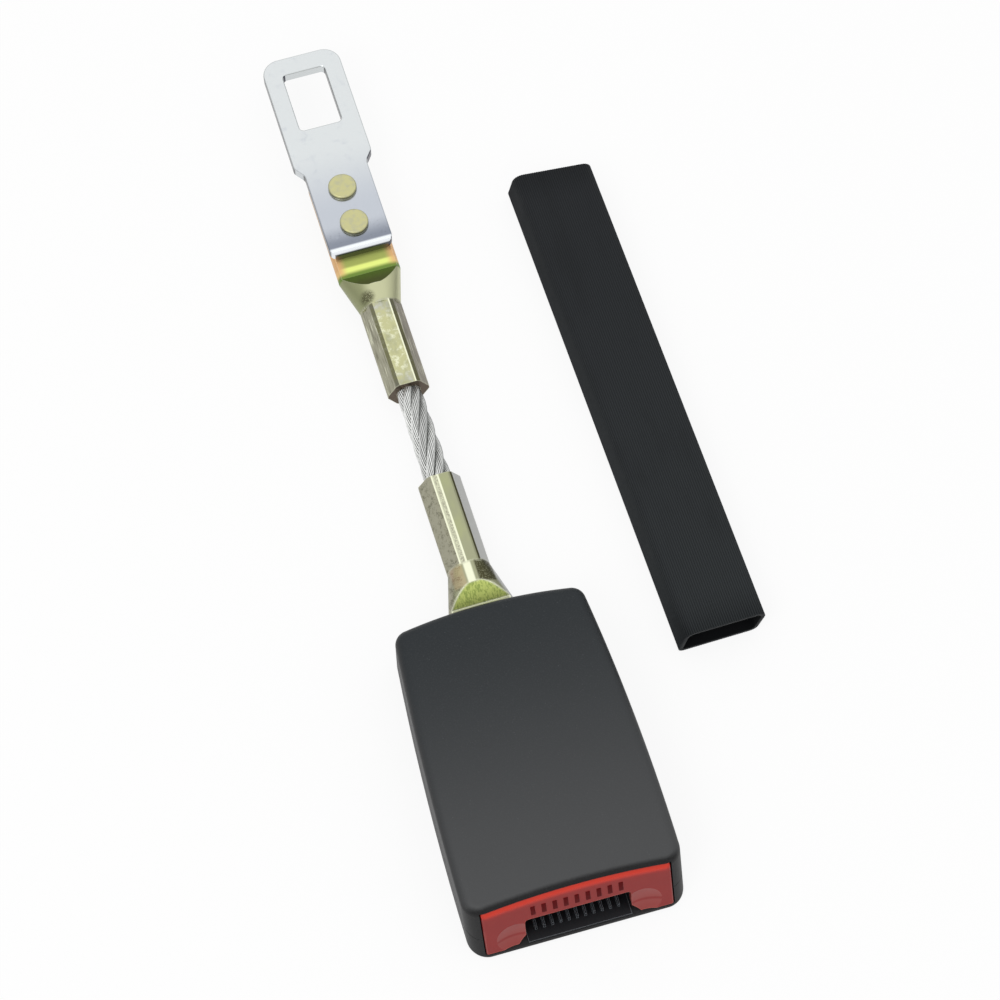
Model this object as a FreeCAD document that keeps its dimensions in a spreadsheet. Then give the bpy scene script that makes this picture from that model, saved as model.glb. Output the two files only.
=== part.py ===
import FreeCAD, Part

import math
import os
import re

import Sketcher

# Seat belt extender, lying on the flat back of its buckle.
# The origin is the centre of that back face. +Z is up, +Y runs from the buckle's mouth
# along the wire rope to the tongue, and +X is to the right of someone facing along +Y.
# Lengths are in millimetres and angles in degrees.

SIZES = {
    # Buckle casing
    "buckle_length": 82.5,
    "buckle_widest": 53.8,
    "widest_from_mouth": 14.0,
    "side_bulge_radius": 760.0,
    "rear_bulge_radius": 185.0,
    "buckle_thick": 20.4,
    "crown_across_radius": 165.0,
    "crown_along_radius": 340.0,
    "face_lean": 21.0,
    "cover_wall": 2.2,
    "floor_wall": 1.8,
    "split_height": 7.0,
    "front_corner_round": 5.0,
    "rear_corner_round": 3.6,
    "rim_round": 3.2,
    "foot_round": 1.0,
    "seam_gap": 0.3,
    "seam_depth": 0.35,
    "post_radius": 2.6,
    "post_pin_radius": 1.4,
    "post_across": 19.4,
    "post_from_rear": 13.0,
    "post_pin_tall": 4.0,
    # Clearances
    "slip_gap": 0.3,
    "pin_gap": 0.06,
    "rope_gap": 0.05,
    # Belt slot in the mouth
    "tongue_wide": 21.5,
    "tongue_thick": 2.8,
    "slot_side_gap": 0.45,
    "slot_tall": 4.6,
    "guide_wall": 1.6,
    "guide_floor": 0.6,
    "guide_rib_start": 3.6,
    "guide_rib_wide": 0.5,
    "guide_rib_pitch": 2.05,
    "guide_rib_count": 11,
    "throat_start": 6.6,
    "throat_length": 6.4,
    # Release button
    "button_wide": 46.4,
    "button_lip": 1.3,
    "button_face_thick": 2.2,
    "button_deck_thick": 2.0,
    "button_deck_length": 8.0,
    "button_edge_round": 2.0,
    "button_side_round": 0.5,
    "button_travel": 5.0,
    "arm_thick": 2.4,
    "arm_foot_height": 4.8,
    "arm_past_ear": 5.0,
    "root_overlap": 1.0,
    "notch_round": 1.0,
    "notch_foot_half": 17.0,
    "notch_flare_height": 4.4,
    "scoop_across": 15.6,
    "scoop_height": 5.4,
    "scoop_half": 4.8,
    "scoop_depth": 0.9,
    # Steel frame
    "frame_plate": 2.0,
    "frame_inner_wide": 25.4,
    "frame_from_mouth": 9.0,
    "frame_from_rear": 5.0,
    "frame_tongue": 4.6,
    "frame_step_reach": 7.0,
    "frame_wall_past_pivot": 6.0,
    "frame_low_height": 12.4,
    "frame_high_height": 15.4,
    # Latch
    "pivot_from_mouth": 45.0,
    "pivot_height": 11.9,
    "latch_pin_radius": 2.0,
    "pin_head_radius": 2.8,
    "pin_head_thick": 0.8,
    "latch_knuckle_radius": 3.4,
    "latch_plate_thick": 2.5,
    "latch_plate_under": 8.9,
    "latch_lip": 1.0,
    "tooth_from_mouth": 23.0,
    "tooth_long": 4.0,
    "tooth_wide": 10.0,
    "tooth_tip_height": 4.3,
    "ear_from_mouth": 29.5,
    "ear_radius": 1.3,
    "latch_lift": 9.0,
    # Ejector
    "ejector_from_mouth": 16.0,
    "ejector_bar": 2.2,
    "ejector_tall": 3.6,
    "ejector_under_gap": 0.2,
    "ejector_spigot_radius": 1.2,
    "ejector_spigot_length": 3.0,
    # Springs
    "button_spring_radius": 2.1,
    "button_spring_wire": 0.6,
    "button_spring_turns": 7,
    "button_spring_height": 8.6,
    "button_spring_from_mouth": 8.0,
    "button_spring_length": 18.0,
    "spring_seat_thick": 2.0,
    "ejector_spring_radius": 1.6,
    "ejector_spring_wire": 0.45,
    "ejector_spring_turns": 8,
    "latch_spring_radius": 2.0,
    "latch_spring_wire": 0.6,
    "latch_spring_turns": 3,
    "latch_spring_past_ear": 4.5,
    "latch_spring_length": 4.6,
    "latch_boss_radius": 2.9,
    # Crimped ferrules and wire rope
    "tab_wide": 16.8,
    "tab_thick": 4.4,
    "tab_length": 36.0,
    "tab_corner_round": 1.6,
    "arch_outside_buckle": 8.6,
    "ramp_length": 5.0,
    "flare_length": 5.5,
    "hex_flats": 10.1,
    "hex_corner_flat": 1.1,
    "hex_length": 25.5,
    "rope_diameter": 6.2,
    "rope_exposed": 27.2,
    "rope_grip": 22.0,
    "strap_turn": 1.12,
    # Rivets
    "first_rivet": 19.0,
    "rivet_pitch": 11.3,
    "rivet_shank_radius": 2.5,
    "rivet_head_radius": 3.75,
    "rivet_head_thick": 1.2,
    "rivet_tail_thick": 0.9,
    "rivet_edge_round": 0.5,
    # Tongue
    "plate_start": 11.0,
    "narrow_wide": 17.1,
    "narrow_length": 25.9,
    "shoulder_length": 3.0,
    "head_length": 34.7,
    "head_corner_round": 4.8,
    "heel_corner_round": 2.4,
    "heel_roll": 1.8,
    "shoulder_round": 2.0,
    "window_wide": 11.6,
    "window_long": 18.4,
    "window_bar": 5.4,
    "window_round": 1.2,
    "plate_edge_round": 0.45,
    # Taken-off sleeve
    "sleeve_wide": 23.1,
    "sleeve_tall": 9.6,
    "sleeve_wall": 1.1,
    "sleeve_length": 141.1,
    "sleeve_end_lean": 7.0,
    "sleeve_round": 4.4,
    "sleeve_across": 53.6,
    "sleeve_along": 92.9,
    "sleeve_turn": 1.5,
}

# Places and sizes that follow from the driving sizes
PLACES = {
    "mouth": "-buckle_length / 2",
    "rear": "buckle_length / 2",
    "through": "2 * buckle_widest",
    "half_widest": "buckle_widest / 2",
    "widest_along": "mouth + widest_from_mouth",
    "half_button": "button_wide / 2",
    "crown_drop": "mouth ^ 2 / (2 * crown_along_radius) + half_button ^ 2 / (2 * crown_across_radius)",
    "button_top": "buckle_thick - button_lip - crown_drop",
    "face_head": "mouth + button_top * tan(face_lean)",
    "base_top": "floor_wall + frame_plate",
    "strap_height": "base_top + tab_thick / 2",
    "slot_half": "tongue_wide / 2 + slot_side_gap",
    "slot_roof": "base_top + slot_tall",
    "guide_half": "slot_half + guide_wall",
    "guide_top": "slot_roof + guide_wall",
    "throat_front": "mouth + throat_start",
    "throat_rear": "throat_front + throat_length",
    "notch_half": "guide_half + slip_gap",
    "notch_top": "guide_top + slip_gap",
    "scoop_radius": "(scoop_half ^ 2 + scoop_depth ^ 2) / (2 * scoop_depth)",
    "post_along": "rear - post_from_rear",
    "frame_front": "mouth + frame_from_mouth",
    "frame_rear": "rear - frame_from_rear",
    "frame_wall_front": "frame_front + frame_tongue",
    "pivot_along": "mouth + pivot_from_mouth",
    "frame_step": "pivot_along - frame_step_reach",
    "frame_wall_rear": "pivot_along + frame_wall_past_pivot",
    "tooth_front": "mouth + tooth_from_mouth",
    "tooth_rear": "tooth_front + tooth_long",
    "latch_plate_front": "tooth_front - latch_lip",
    "ear_along": "mouth + ear_from_mouth",
    "arm_end": "ear_along + arm_past_ear",
    "ejector_front": "mouth + ejector_from_mouth",
    "button_spring_front": "mouth + button_spring_from_mouth",
    "button_spring_rear": "button_spring_front + button_spring_length",
    "latch_spring_along": "ear_along + latch_spring_past_ear",
    "frame_half": "frame_inner_wide / 2 + frame_plate",
    "arm_inner": "frame_half + slip_gap + pin_head_thick",
    "arm_outer": "arm_inner + arm_thick",
    "ramp_angle": "atan(reach_ear * sin(latch_lift) / button_travel)",
    "reach_ear": "pivot_along - ear_along",
    "ear_height": "latch_plate_under + latch_plate_thick / 2",
    "ramp_under_ear": "(ear_radius + slip_gap) / cos(ramp_angle)",
    "spring_outer": "button_spring_radius + button_spring_wire / 2",
    "spring_across": "arm_outer + slip_gap + spring_outer",
    "deck_rear": "face_head + button_deck_length",
    "latch_half": "frame_inner_wide / 2 - slip_gap",
    "ejector_under": "base_top + ejector_under_gap",
    "ejector_bar_front": "tooth_rear + slip_gap",
    "ejector_rear": "ejector_bar_front + ejector_bar",
    "fork_half": "tooth_wide / 2 + 2 * slip_gap",
    "lower_arch": "rear + arch_outside_buckle",
    "hex_start": "flare_length",
    "hex_end": "flare_length + hex_length",
    "lower_rope_exit": "lower_arch + hex_end",
    "upper_rope_exit": "lower_rope_exit + rope_exposed",
    "upper_arch": "upper_rope_exit + hex_end",
    "strap_pivot": "lower_arch - first_rivet",
    "front_anchor_across": "rivet_pitch * sin(strap_turn)",
    "front_anchor_along": "strap_pivot - rivet_pitch * cos(strap_turn)",
    "tab_end": "lower_arch - tab_length",
    "ejector_spring_end": "tab_end - pin_gap",
    "half_tab": "tab_thick / 2",
    "half_flats": "hex_flats / 2",
    "half_corners": "hex_flats / sqrt(3)",
    "corner_trim": "hex_corner_flat / sqrt(3)",
    "second_rivet": "first_rivet + rivet_pitch",
    "rope_radius": "rope_diameter / 2",
    "plate_under": "strap_height + tab_thick / 2",
    "plate_top": "plate_under + tongue_thick",
    "plate_heel": "upper_arch + plate_start",
    "narrow_end": "plate_heel + narrow_length",
    "head_start": "narrow_end + shoulder_length",
    "tongue_tip": "head_start + head_length",
    "window_far": "tongue_tip - window_bar",
    "window_near": "window_far - window_long",
    "boss_bottom": "latch_plate_under + latch_plate_thick + latch_spring_length",
}

# A spring is drawn as straight facets: steps to a turn, and a square wire's corners in half widths
COIL_STEPS = 10
COIL_SECTION = ((1, 1), (-1, 1), (-1, -1), (1, -1))

DOC = FreeCAD.newDocument("SeatBeltExtender")
UP = FreeCAD.Vector(0, 0, 1)


def bound(text):
    """Point each known name in a formula at the sheet or at the derived places."""
    def point_at(match):
        word = match.group(0)
        if word in SIZES:
            return f"Sizes.{word}"
        if word in PLACES:
            return f"Places.{word}"
        return word
    return re.sub(r"[a-z][a-z_]*", point_at, text)


def make_sheet():
    sheet = DOC.addObject("Spreadsheet::Sheet", "Sizes")
    for row, (name, number) in enumerate(SIZES.items(), start=1):
        sheet.set(f"A{row}", name)
        sheet.set(f"B{row}", str(number))
        sheet.setAlias(f"B{row}", name)
    DOC.recompute()
    places = DOC.addObject("App::VarSet", "Places")
    for name in PLACES:
        places.addProperty("App::PropertyFloat", name, "Places")
    for name, text in PLACES.items():
        places.setExpression(name, bound(text))
    DOC.recompute()
    return sheet, places


SHEET, PLACED = make_sheet()


def value(name):
    """The present value of a driving size or of a derived place."""
    if name in SIZES:
        return float(SHEET.get(name))
    return float(getattr(PLACED, name))


def bind(target, **formulas):
    for name, text in formulas.items():
        target.setExpression(name.replace("__", "."), bound(text))


# Sketches and features


def new_body(label):
    body = DOC.addObject("PartDesign::Body", label)
    body.Label = label
    return body


def new_sketch(body, plane, along="0"):
    """Sketch on one of the body's own planes, moved to a place along the plane's axis."""
    sketch = body.newObject("Sketcher::SketchObject", f"{body.Name}_sketch")
    origin_plane = [item for item in body.Origin.OriginFeatures if item.Role == f"{plane}_Plane"][0]
    sketch.AttachmentSupport = [(origin_plane, "")]
    sketch.MapMode = "FlatFace"
    # The XZ plane faces -Y, so a place along +Y is an offset the other way.
    offset = f"-({along})" if plane == "XZ" else along
    sketch.setExpression("AttachmentOffset.Base.z", bound(offset))
    return sketch


def fix_point(sketch, curve, point, across, up, drawn=(1.0, 1.0)):
    """Hold a point of a curve, drawn at a first place, at one measured from the sketch's origin."""
    for kind, text, first in (("DistanceX", across, drawn[0]), ("DistanceY", up, drawn[1])):
        index = sketch.addConstraint(Sketcher.Constraint(kind, -1, 1, curve, point, first))
        sketch.setExpression(f"Constraints[{index}]", bound(text))


def polygon(sketch, corners):
    """Closed outline of straight lines through corners given as pairs of formulas."""
    count = len(corners)
    first = sketch.GeometryCount
    turn = 2 * math.pi / count
    start = [FreeCAD.Vector(math.cos(turn * i), math.sin(turn * i), 0) for i in range(count)]
    for i in range(count):
        sketch.addGeometry(Part.LineSegment(start[i], start[(i + 1) % count]), False)
    for i in range(count):
        sketch.addConstraint(Sketcher.Constraint("Coincident", first + i, 2, first + (i + 1) % count, 1))
    for i, (across, up) in enumerate(corners):
        fix_point(sketch, first + i, 1, across, up)
    return sketch


def rectangle(sketch, left, right, low, high):
    return polygon(sketch, [(left, low), (right, low), (right, high), (left, high)])


def circle(sketch, across, up, radius):
    curve = sketch.addGeometry(Part.Circle(FreeCAD.Vector(1, 1, 0), UP, 1.0), False)
    fix_point(sketch, curve, 3, across, up)
    index = sketch.addConstraint(Sketcher.Constraint("Radius", curve, 1.0))
    sketch.setExpression(f"Constraints[{index}]", bound(radius))
    return sketch


def extrude(kind, body, sketch, length):
    """Pad or Pocket, half of its length on each side of its sketch."""
    feature = body.newObject(f"PartDesign::{kind}", f"{body.Name}_{kind}")
    feature.Profile = sketch
    feature.Midplane = True
    bind(feature, Length=length)
    DOC.recompute()
    return feature


def pad(body, sketch, length):
    return extrude("Pad", body, sketch, length)


def pocket(body, sketch, length):
    before = body.Shape.Volume
    feature = extrude("Pocket", body, sketch, length)
    if body.Shape.Volume >= before:
        raise ValueError(f"{feature.Name} cuts nothing")
    return feature


def revolve(body, sketch, kind="Revolution"):
    """Full turn about the sketch's own vertical axis line."""
    feature = body.newObject(f"PartDesign::{kind}", f"{body.Name}_{kind}")
    feature.Profile = sketch
    feature.ReferenceAxis = (sketch, ["V_Axis"])
    feature.Angle = 360
    DOC.recompute()
    return feature


def edges_where(shape, wanted):
    return [f"Edge{i}" for i, edge in enumerate(shape.Edges, start=1) if wanted(edge)]


def round_edges(body, wanted, radius):
    """Fillet the edges of the body's present shape that the test picks."""
    base = body.Tip
    names = edges_where(base.Shape, wanted)
    feature = body.newObject("PartDesign::Fillet", f"{body.Name}_Fillet")
    feature.Base = (base, names)
    bind(feature, Radius=radius)
    DOC.recompute()
    return feature


def near(one, other, slack=0.01):
    return abs(one - other) < slack


def is_upright(edge):
    return near(edge.BoundBox.XLength, 0) and near(edge.BoundBox.YLength, 0)


def middle(edge):
    return edge.BoundBox.Center


# Part primitives and booleans


def cylinder(label, radius, height, across="0", along="0", up="0"):
    item = DOC.addObject("Part::Cylinder", label)
    bind(item, Radius=radius, Height=height)
    bind(item, Placement__Base__x=across, Placement__Base__y=along, Placement__Base__z=up)
    return item


def box(label, left, right, front, back, low, high):
    item = DOC.addObject("Part::Box", label)
    bind(item, Length=f"({right}) - ({left})", Width=f"({back}) - ({front})", Height=f"({high}) - ({low})")
    bind(item, Placement__Base__x=left, Placement__Base__y=front, Placement__Base__z=low)
    return item


def joined(kind, label, items):
    item = DOC.addObject(f"Part::{kind}", label)
    item.Shapes = items
    return item


def cut(label, base, tool):
    item = DOC.addObject("Part::Cut", label)
    item.Base = base
    item.Tool = tool
    return item


def finish_node(label, item):
    """A node keeps its name as its label, whatever features it was made from."""
    item.Label = label
    return item


# Buckle casing


def crown(label, inset):
    """Ring on its side, whose topmost patch is the casing's crown lowered by an inset."""
    ring = DOC.addObject("Part::Torus", f"{label}_crown")
    ring.Placement = FreeCAD.Placement(FreeCAD.Vector(), FreeCAD.Rotation(FreeCAD.Vector(0, 1, 0), 90))
    bind(ring, Radius1="crown_along_radius - crown_across_radius",
         Radius2=f"crown_across_radius - ({inset})",
         Placement__Base__z="buckle_thick - crown_along_radius")
    return ring


def casing_form(label, inset, floor):
    """Tapered, crowned block of the casing, with every wall moved in by an inset."""
    profile = new_body(f"{label}_profile")
    sketch = new_sketch(profile, "YZ")
    lean = "buckle_thick * tan(face_lean)"
    polygon(sketch, [
        (f"mouth + {inset} / cos(face_lean) + {floor} * tan(face_lean)", floor),
        ("rear + buckle_thick", floor),
        ("rear + buckle_thick", "buckle_thick"),
        (f"mouth + {inset} / cos(face_lean) + {lean}", "buckle_thick"),
    ])
    pad(profile, sketch, "through")
    sides = []
    for name, sign in (("left", "-"), ("right", "")):
        sides.append(cylinder(
            f"{label}_{name}_side", f"side_bulge_radius - {inset}", "through",
            across=f"{sign}(half_widest - side_bulge_radius)", along="widest_along", up="-buckle_thick"))
    rear = cylinder(
        f"{label}_rear", f"rear_bulge_radius - {inset}", "through",
        along="rear - rear_bulge_radius", up="-buckle_thick")
    block = joined("MultiCommon", f"{label}_block", [profile, *sides, rear, crown(label, inset)])
    DOC.recompute()
    return block


def cornered_form(label, block):
    """A casing block with its four upright corners rounded."""
    form = new_body(label)
    form.BaseFeature = block
    DOC.recompute()

    def at_corner(edge, front):
        return edge.BoundBox.ZLength > value("split_height") and (middle(edge).y < 0) == front

    round_edges(form, lambda edge: at_corner(edge, False), "rear_corner_round")
    round_edges(form, lambda edge: at_corner(edge, True), "front_corner_round")
    return form


def round_rim_and_foot(form):
    """Round the casing's top rim, except over the mouth, and its bottom edge."""
    def on_rim(edge):
        bounds = edge.BoundBox
        over_mouth = bounds.XLength > value("half_button") and bounds.YMax < value("widest_along")
        return bounds.ZMin > value("split_height") and not over_mouth

    round_edges(form, on_rim, "rim_round")
    round_edges(form, lambda edge: near(edge.BoundBox.ZMax, 0), "foot_round")


def seam_ring():
    """Shallow groove round the casing, where its two covers meet."""
    core = cornered_form("seam_core", casing_form("seam", "seam_depth", "0"))
    slab = box(
        "seam_slab", "-through", "through", "2 * mouth", "2 * rear",
        "split_height - seam_gap / 2", "split_height + seam_gap / 2")
    return cut("seam_ring", slab, core)


def posts(label, radius, height, low):
    return [
        cylinder(f"{label}_{name}", radius, height, across=across, along="post_along", up=low)
        for name, across in (("left", "-post_across"), ("right", "post_across"))
    ]


def make_covers():
    form = cornered_form("casing", casing_form("casing_outer", "0", "0"))
    round_rim_and_foot(form)
    cavity = casing_form("casing_inner", "cover_wall", "floor_wall")
    upper = box(
        "upper_half", "-through", "through", "2 * mouth", "2 * rear", "split_height", "2 * buckle_thick")
    lower = box(
        "lower_half", "-through", "through", "2 * mouth", "2 * rear", "-buckle_thick", "split_height")
    aperture = joined("MultiCommon", "aperture", [
        box("aperture_box", "-half_button - slip_gap", "half_button + slip_gap",
            "2 * mouth", "deck_rear + button_travel + slip_gap", "floor_wall", "buckle_thick"),
        crown("aperture", "button_lip - slip_gap"),
    ])
    strap_way = box(
        "strap_way", "-tab_wide / 2 - 2 * slip_gap", "tab_wide / 2 + 2 * slip_gap",
        "rear - 2 * cover_wall", "2 * rear", "base_top - 2 * slip_gap", "plate_under + 2 * slip_gap")
    hollow = joined("MultiFuse", "hollow", [cavity, aperture, strap_way, seam_ring()])

    top_shell = cut("top_shell", joined("MultiCommon", "top_half", [form, upper]), hollow)
    sockets = joined("MultiFuse", "sockets", [
        *posts("socket", "post_radius", "buckle_thick", "split_height"),
        cylinder("latch_boss", "latch_boss_radius", "buckle_thick",
                 along="latch_spring_along", up="boss_bottom"),
    ])
    inside_top = joined("MultiCommon", "sockets_in_cover", [sockets, form])
    top_solid = joined("MultiFuse", "top_solid", [top_shell, inside_top])
    socket_bores = joined(
        "MultiFuse", "socket_bores",
        posts("socket_bore", "post_pin_radius + pin_gap", "post_pin_tall + slip_gap", "split_height"))
    top_cover = finish_node("top_cover", cut("top_cover", top_solid, socket_bores))

    bottom_shell = cut("bottom_shell", joined("MultiCommon", "bottom_half", [form, lower]), hollow)
    feet = posts("post", "post_radius", "split_height - floor_wall / 2", "floor_wall / 2")
    pins = posts("post_pin", "post_pin_radius", "post_pin_tall + floor_wall", "split_height - floor_wall")
    seats = []
    for name, sign in (("left", -1), ("right", 1)):
        seats.append(box(
            f"{name}_spring_seat",
            f"{sign} * spring_across - spring_outer", f"{sign} * spring_across + spring_outer",
            "button_spring_rear", "button_spring_rear + spring_seat_thick",
            "floor_wall / 2", "button_spring_height + spring_outer"))
    bottom_cover = finish_node(
        "bottom_cover", joined("MultiFuse", "bottom_cover", [bottom_shell, *feet, *pins, *seats]))
    DOC.recompute()
    return [top_cover, bottom_cover]


def make_mouth_guide():
    """Ribbed lip and throat that lead a tongue into the buckle."""
    body = new_body("mouth_guide")
    floor_high = "floor_wall + guide_floor"
    lip_near = "mouth + slip_gap + floor_wall * tan(face_lean)"
    lip_far = "frame_front - pin_gap"
    lip_centre = f"({lip_near} + {lip_far}) / 2"
    lip_length = f"{lip_far} - ({lip_near})"
    lip = new_sketch(body, "XZ", lip_centre)
    rectangle(lip, "-guide_half", "guide_half", "floor_wall", floor_high)
    pad(body, lip, lip_length)
    for sign in ("-", ""):
        cheek = new_sketch(body, "XZ", f"(throat_front + {lip_far}) / 2")
        rectangle(cheek, f"{sign}slot_half", f"{sign}guide_half", "floor_wall", "slot_roof")
        pad(body, cheek, f"{lip_far} - throat_front")
    throat = new_sketch(body, "XZ", "(throat_front + throat_rear) / 2")
    polygon(throat, [
        ("-guide_half", "base_top"), ("-slot_half", "base_top"),
        ("-slot_half", "slot_roof"), ("slot_half", "slot_roof"),
        ("slot_half", "base_top"), ("guide_half", "base_top"),
        ("guide_half", "guide_top"), ("-guide_half", "guide_top"),
    ])
    pad(body, throat, "throat_length")
    row_start = "-(guide_rib_count - 1) * guide_rib_pitch / 2"
    rib = new_sketch(body, "XZ", f"(mouth + guide_rib_start + {lip_far}) / 2")
    rectangle(rib, f"{row_start} - guide_rib_wide / 2", f"{row_start} + guide_rib_wide / 2",
              "floor_wall", "base_top")
    first_rib = pad(body, rib, f"{lip_far} - (mouth + guide_rib_start)")
    row = body.newObject("PartDesign::LinearPattern", "rib_row")
    row.Originals = [first_rib]
    row.Direction = (rib, ["H_Axis"])
    bind(row, Length="(guide_rib_count - 1) * guide_rib_pitch", Occurrences="guide_rib_count")
    body.Tip = row
    DOC.recompute()
    return body


# Steel frame and latch


def make_frame():
    """Folded channel that carries the latch pin and the ferrule's rivets."""
    body = new_body("buckle_frame")
    channel = new_sketch(body, "XZ", "(frame_front + frame_rear) / 2")
    polygon(channel, [
        ("-frame_half", "floor_wall"), ("frame_half", "floor_wall"),
        ("frame_half", "frame_high_height"), ("frame_inner_wide / 2", "frame_high_height"),
        ("frame_inner_wide / 2", "base_top"), ("-frame_inner_wide / 2", "base_top"),
        ("-frame_inner_wide / 2", "frame_high_height"), ("-frame_half", "frame_high_height"),
    ])
    pad(body, channel, "frame_rear - frame_front")
    above = "2 * buckle_thick"
    removed = (
        [("frame_front - frame_plate", "base_top"), ("frame_wall_front", "base_top"),
         ("frame_wall_front", "frame_low_height"), ("frame_step", "frame_low_height"),
         ("frame_step", above), ("frame_front - frame_plate", above)],
        [("frame_wall_rear", "base_top"), ("frame_rear + frame_plate", "base_top"),
         ("frame_rear + frame_plate", above), ("frame_wall_rear", above)],
        [("ear_along - ear_radius - 2 * slip_gap", "ear_height - ear_radius - slip_gap"),
         ("ear_along + ear_radius + 2 * slip_gap", "ear_height - ear_radius - slip_gap"),
         ("ear_along + ear_radius + 2 * slip_gap", above), ("ear_along - ear_radius - 2 * slip_gap", above)],
    )
    for corners in removed:
        pocket(body, polygon(new_sketch(body, "YZ"), corners), "through")
    bore = circle(new_sketch(body, "YZ"), "pivot_along", "pivot_height", "latch_pin_radius + pin_gap")
    pocket(body, bore, "through")
    for across, along in (("0", "strap_pivot"), ("front_anchor_across", "front_anchor_along")):
        hole = new_sketch(body, "XY", "floor_wall + frame_plate / 2")
        circle(hole, across, along, "rivet_shank_radius + pin_gap")
        pocket(body, hole, "2 * frame_plate")
    return body


def make_latch_pin():
    """Pin across the frame, with a flat head at each end."""
    body = new_body("latch_pin")
    shank = circle(new_sketch(body, "YZ"), "pivot_along", "pivot_height", "latch_pin_radius")
    pad(body, shank, "2 * (frame_half + pin_gap)")
    for sign in ("-", ""):
        head = new_sketch(body, "YZ", f"{sign}(frame_half + pin_gap + pin_head_thick / 2)")
        pad(body, circle(head, "pivot_along", "pivot_height", "pin_head_radius"), "pin_head_thick")
    return body


def make_latch():
    """Pawl whose tooth drops through a tongue's window."""
    body = new_body("latch_pawl")
    top = "latch_plate_under + latch_plate_thick"
    plate = polygon(new_sketch(body, "YZ"), [
        ("latch_plate_front", "latch_plate_under"), ("pivot_along", "latch_plate_under"),
        ("pivot_along", top), ("latch_plate_front", top),
    ])
    pad(body, plate, "2 * latch_half")
    pad(body, circle(new_sketch(body, "YZ"), "pivot_along", "pivot_height", "latch_knuckle_radius"),
        "2 * latch_half")
    tooth = polygon(new_sketch(body, "YZ"), [
        ("tooth_rear", "tooth_tip_height"), ("tooth_rear", top),
        ("tooth_front", top), ("tooth_front", "latch_plate_under - slip_gap"),
        ("tooth_rear - latch_plate_thick / 2", "tooth_tip_height"),
    ])
    pad(body, tooth, "tooth_wide")
    ears = circle(new_sketch(body, "YZ"), "ear_along", "ear_height", "ear_radius")
    pad(body, ears, "2 * arm_outer")
    bore = circle(new_sketch(body, "YZ"), "pivot_along", "pivot_height", "latch_pin_radius + pin_gap")
    pocket(body, bore, "through")
    return body


def make_ejector():
    """Fork that meets the tongue's nose on both sides of the tooth."""
    body = new_body("ejector")
    fork = new_sketch(body, "XY", "ejector_under + ejector_tall / 2")
    polygon(fork, [
        ("-latch_half", "ejector_front"), ("-fork_half", "ejector_front"),
        ("-fork_half", "ejector_bar_front"), ("fork_half", "ejector_bar_front"),
        ("fork_half", "ejector_front"), ("latch_half", "ejector_front"),
        ("latch_half", "ejector_rear"), ("-latch_half", "ejector_rear"),
    ])
    pad(body, fork, "ejector_tall")
    spigot = new_sketch(body, "XZ", "ejector_rear + ejector_spigot_length / 2")
    circle(spigot, "0", "ejector_under + ejector_tall / 2", "ejector_spigot_radius")
    pad(body, spigot, "ejector_spigot_length")
    return body


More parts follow.
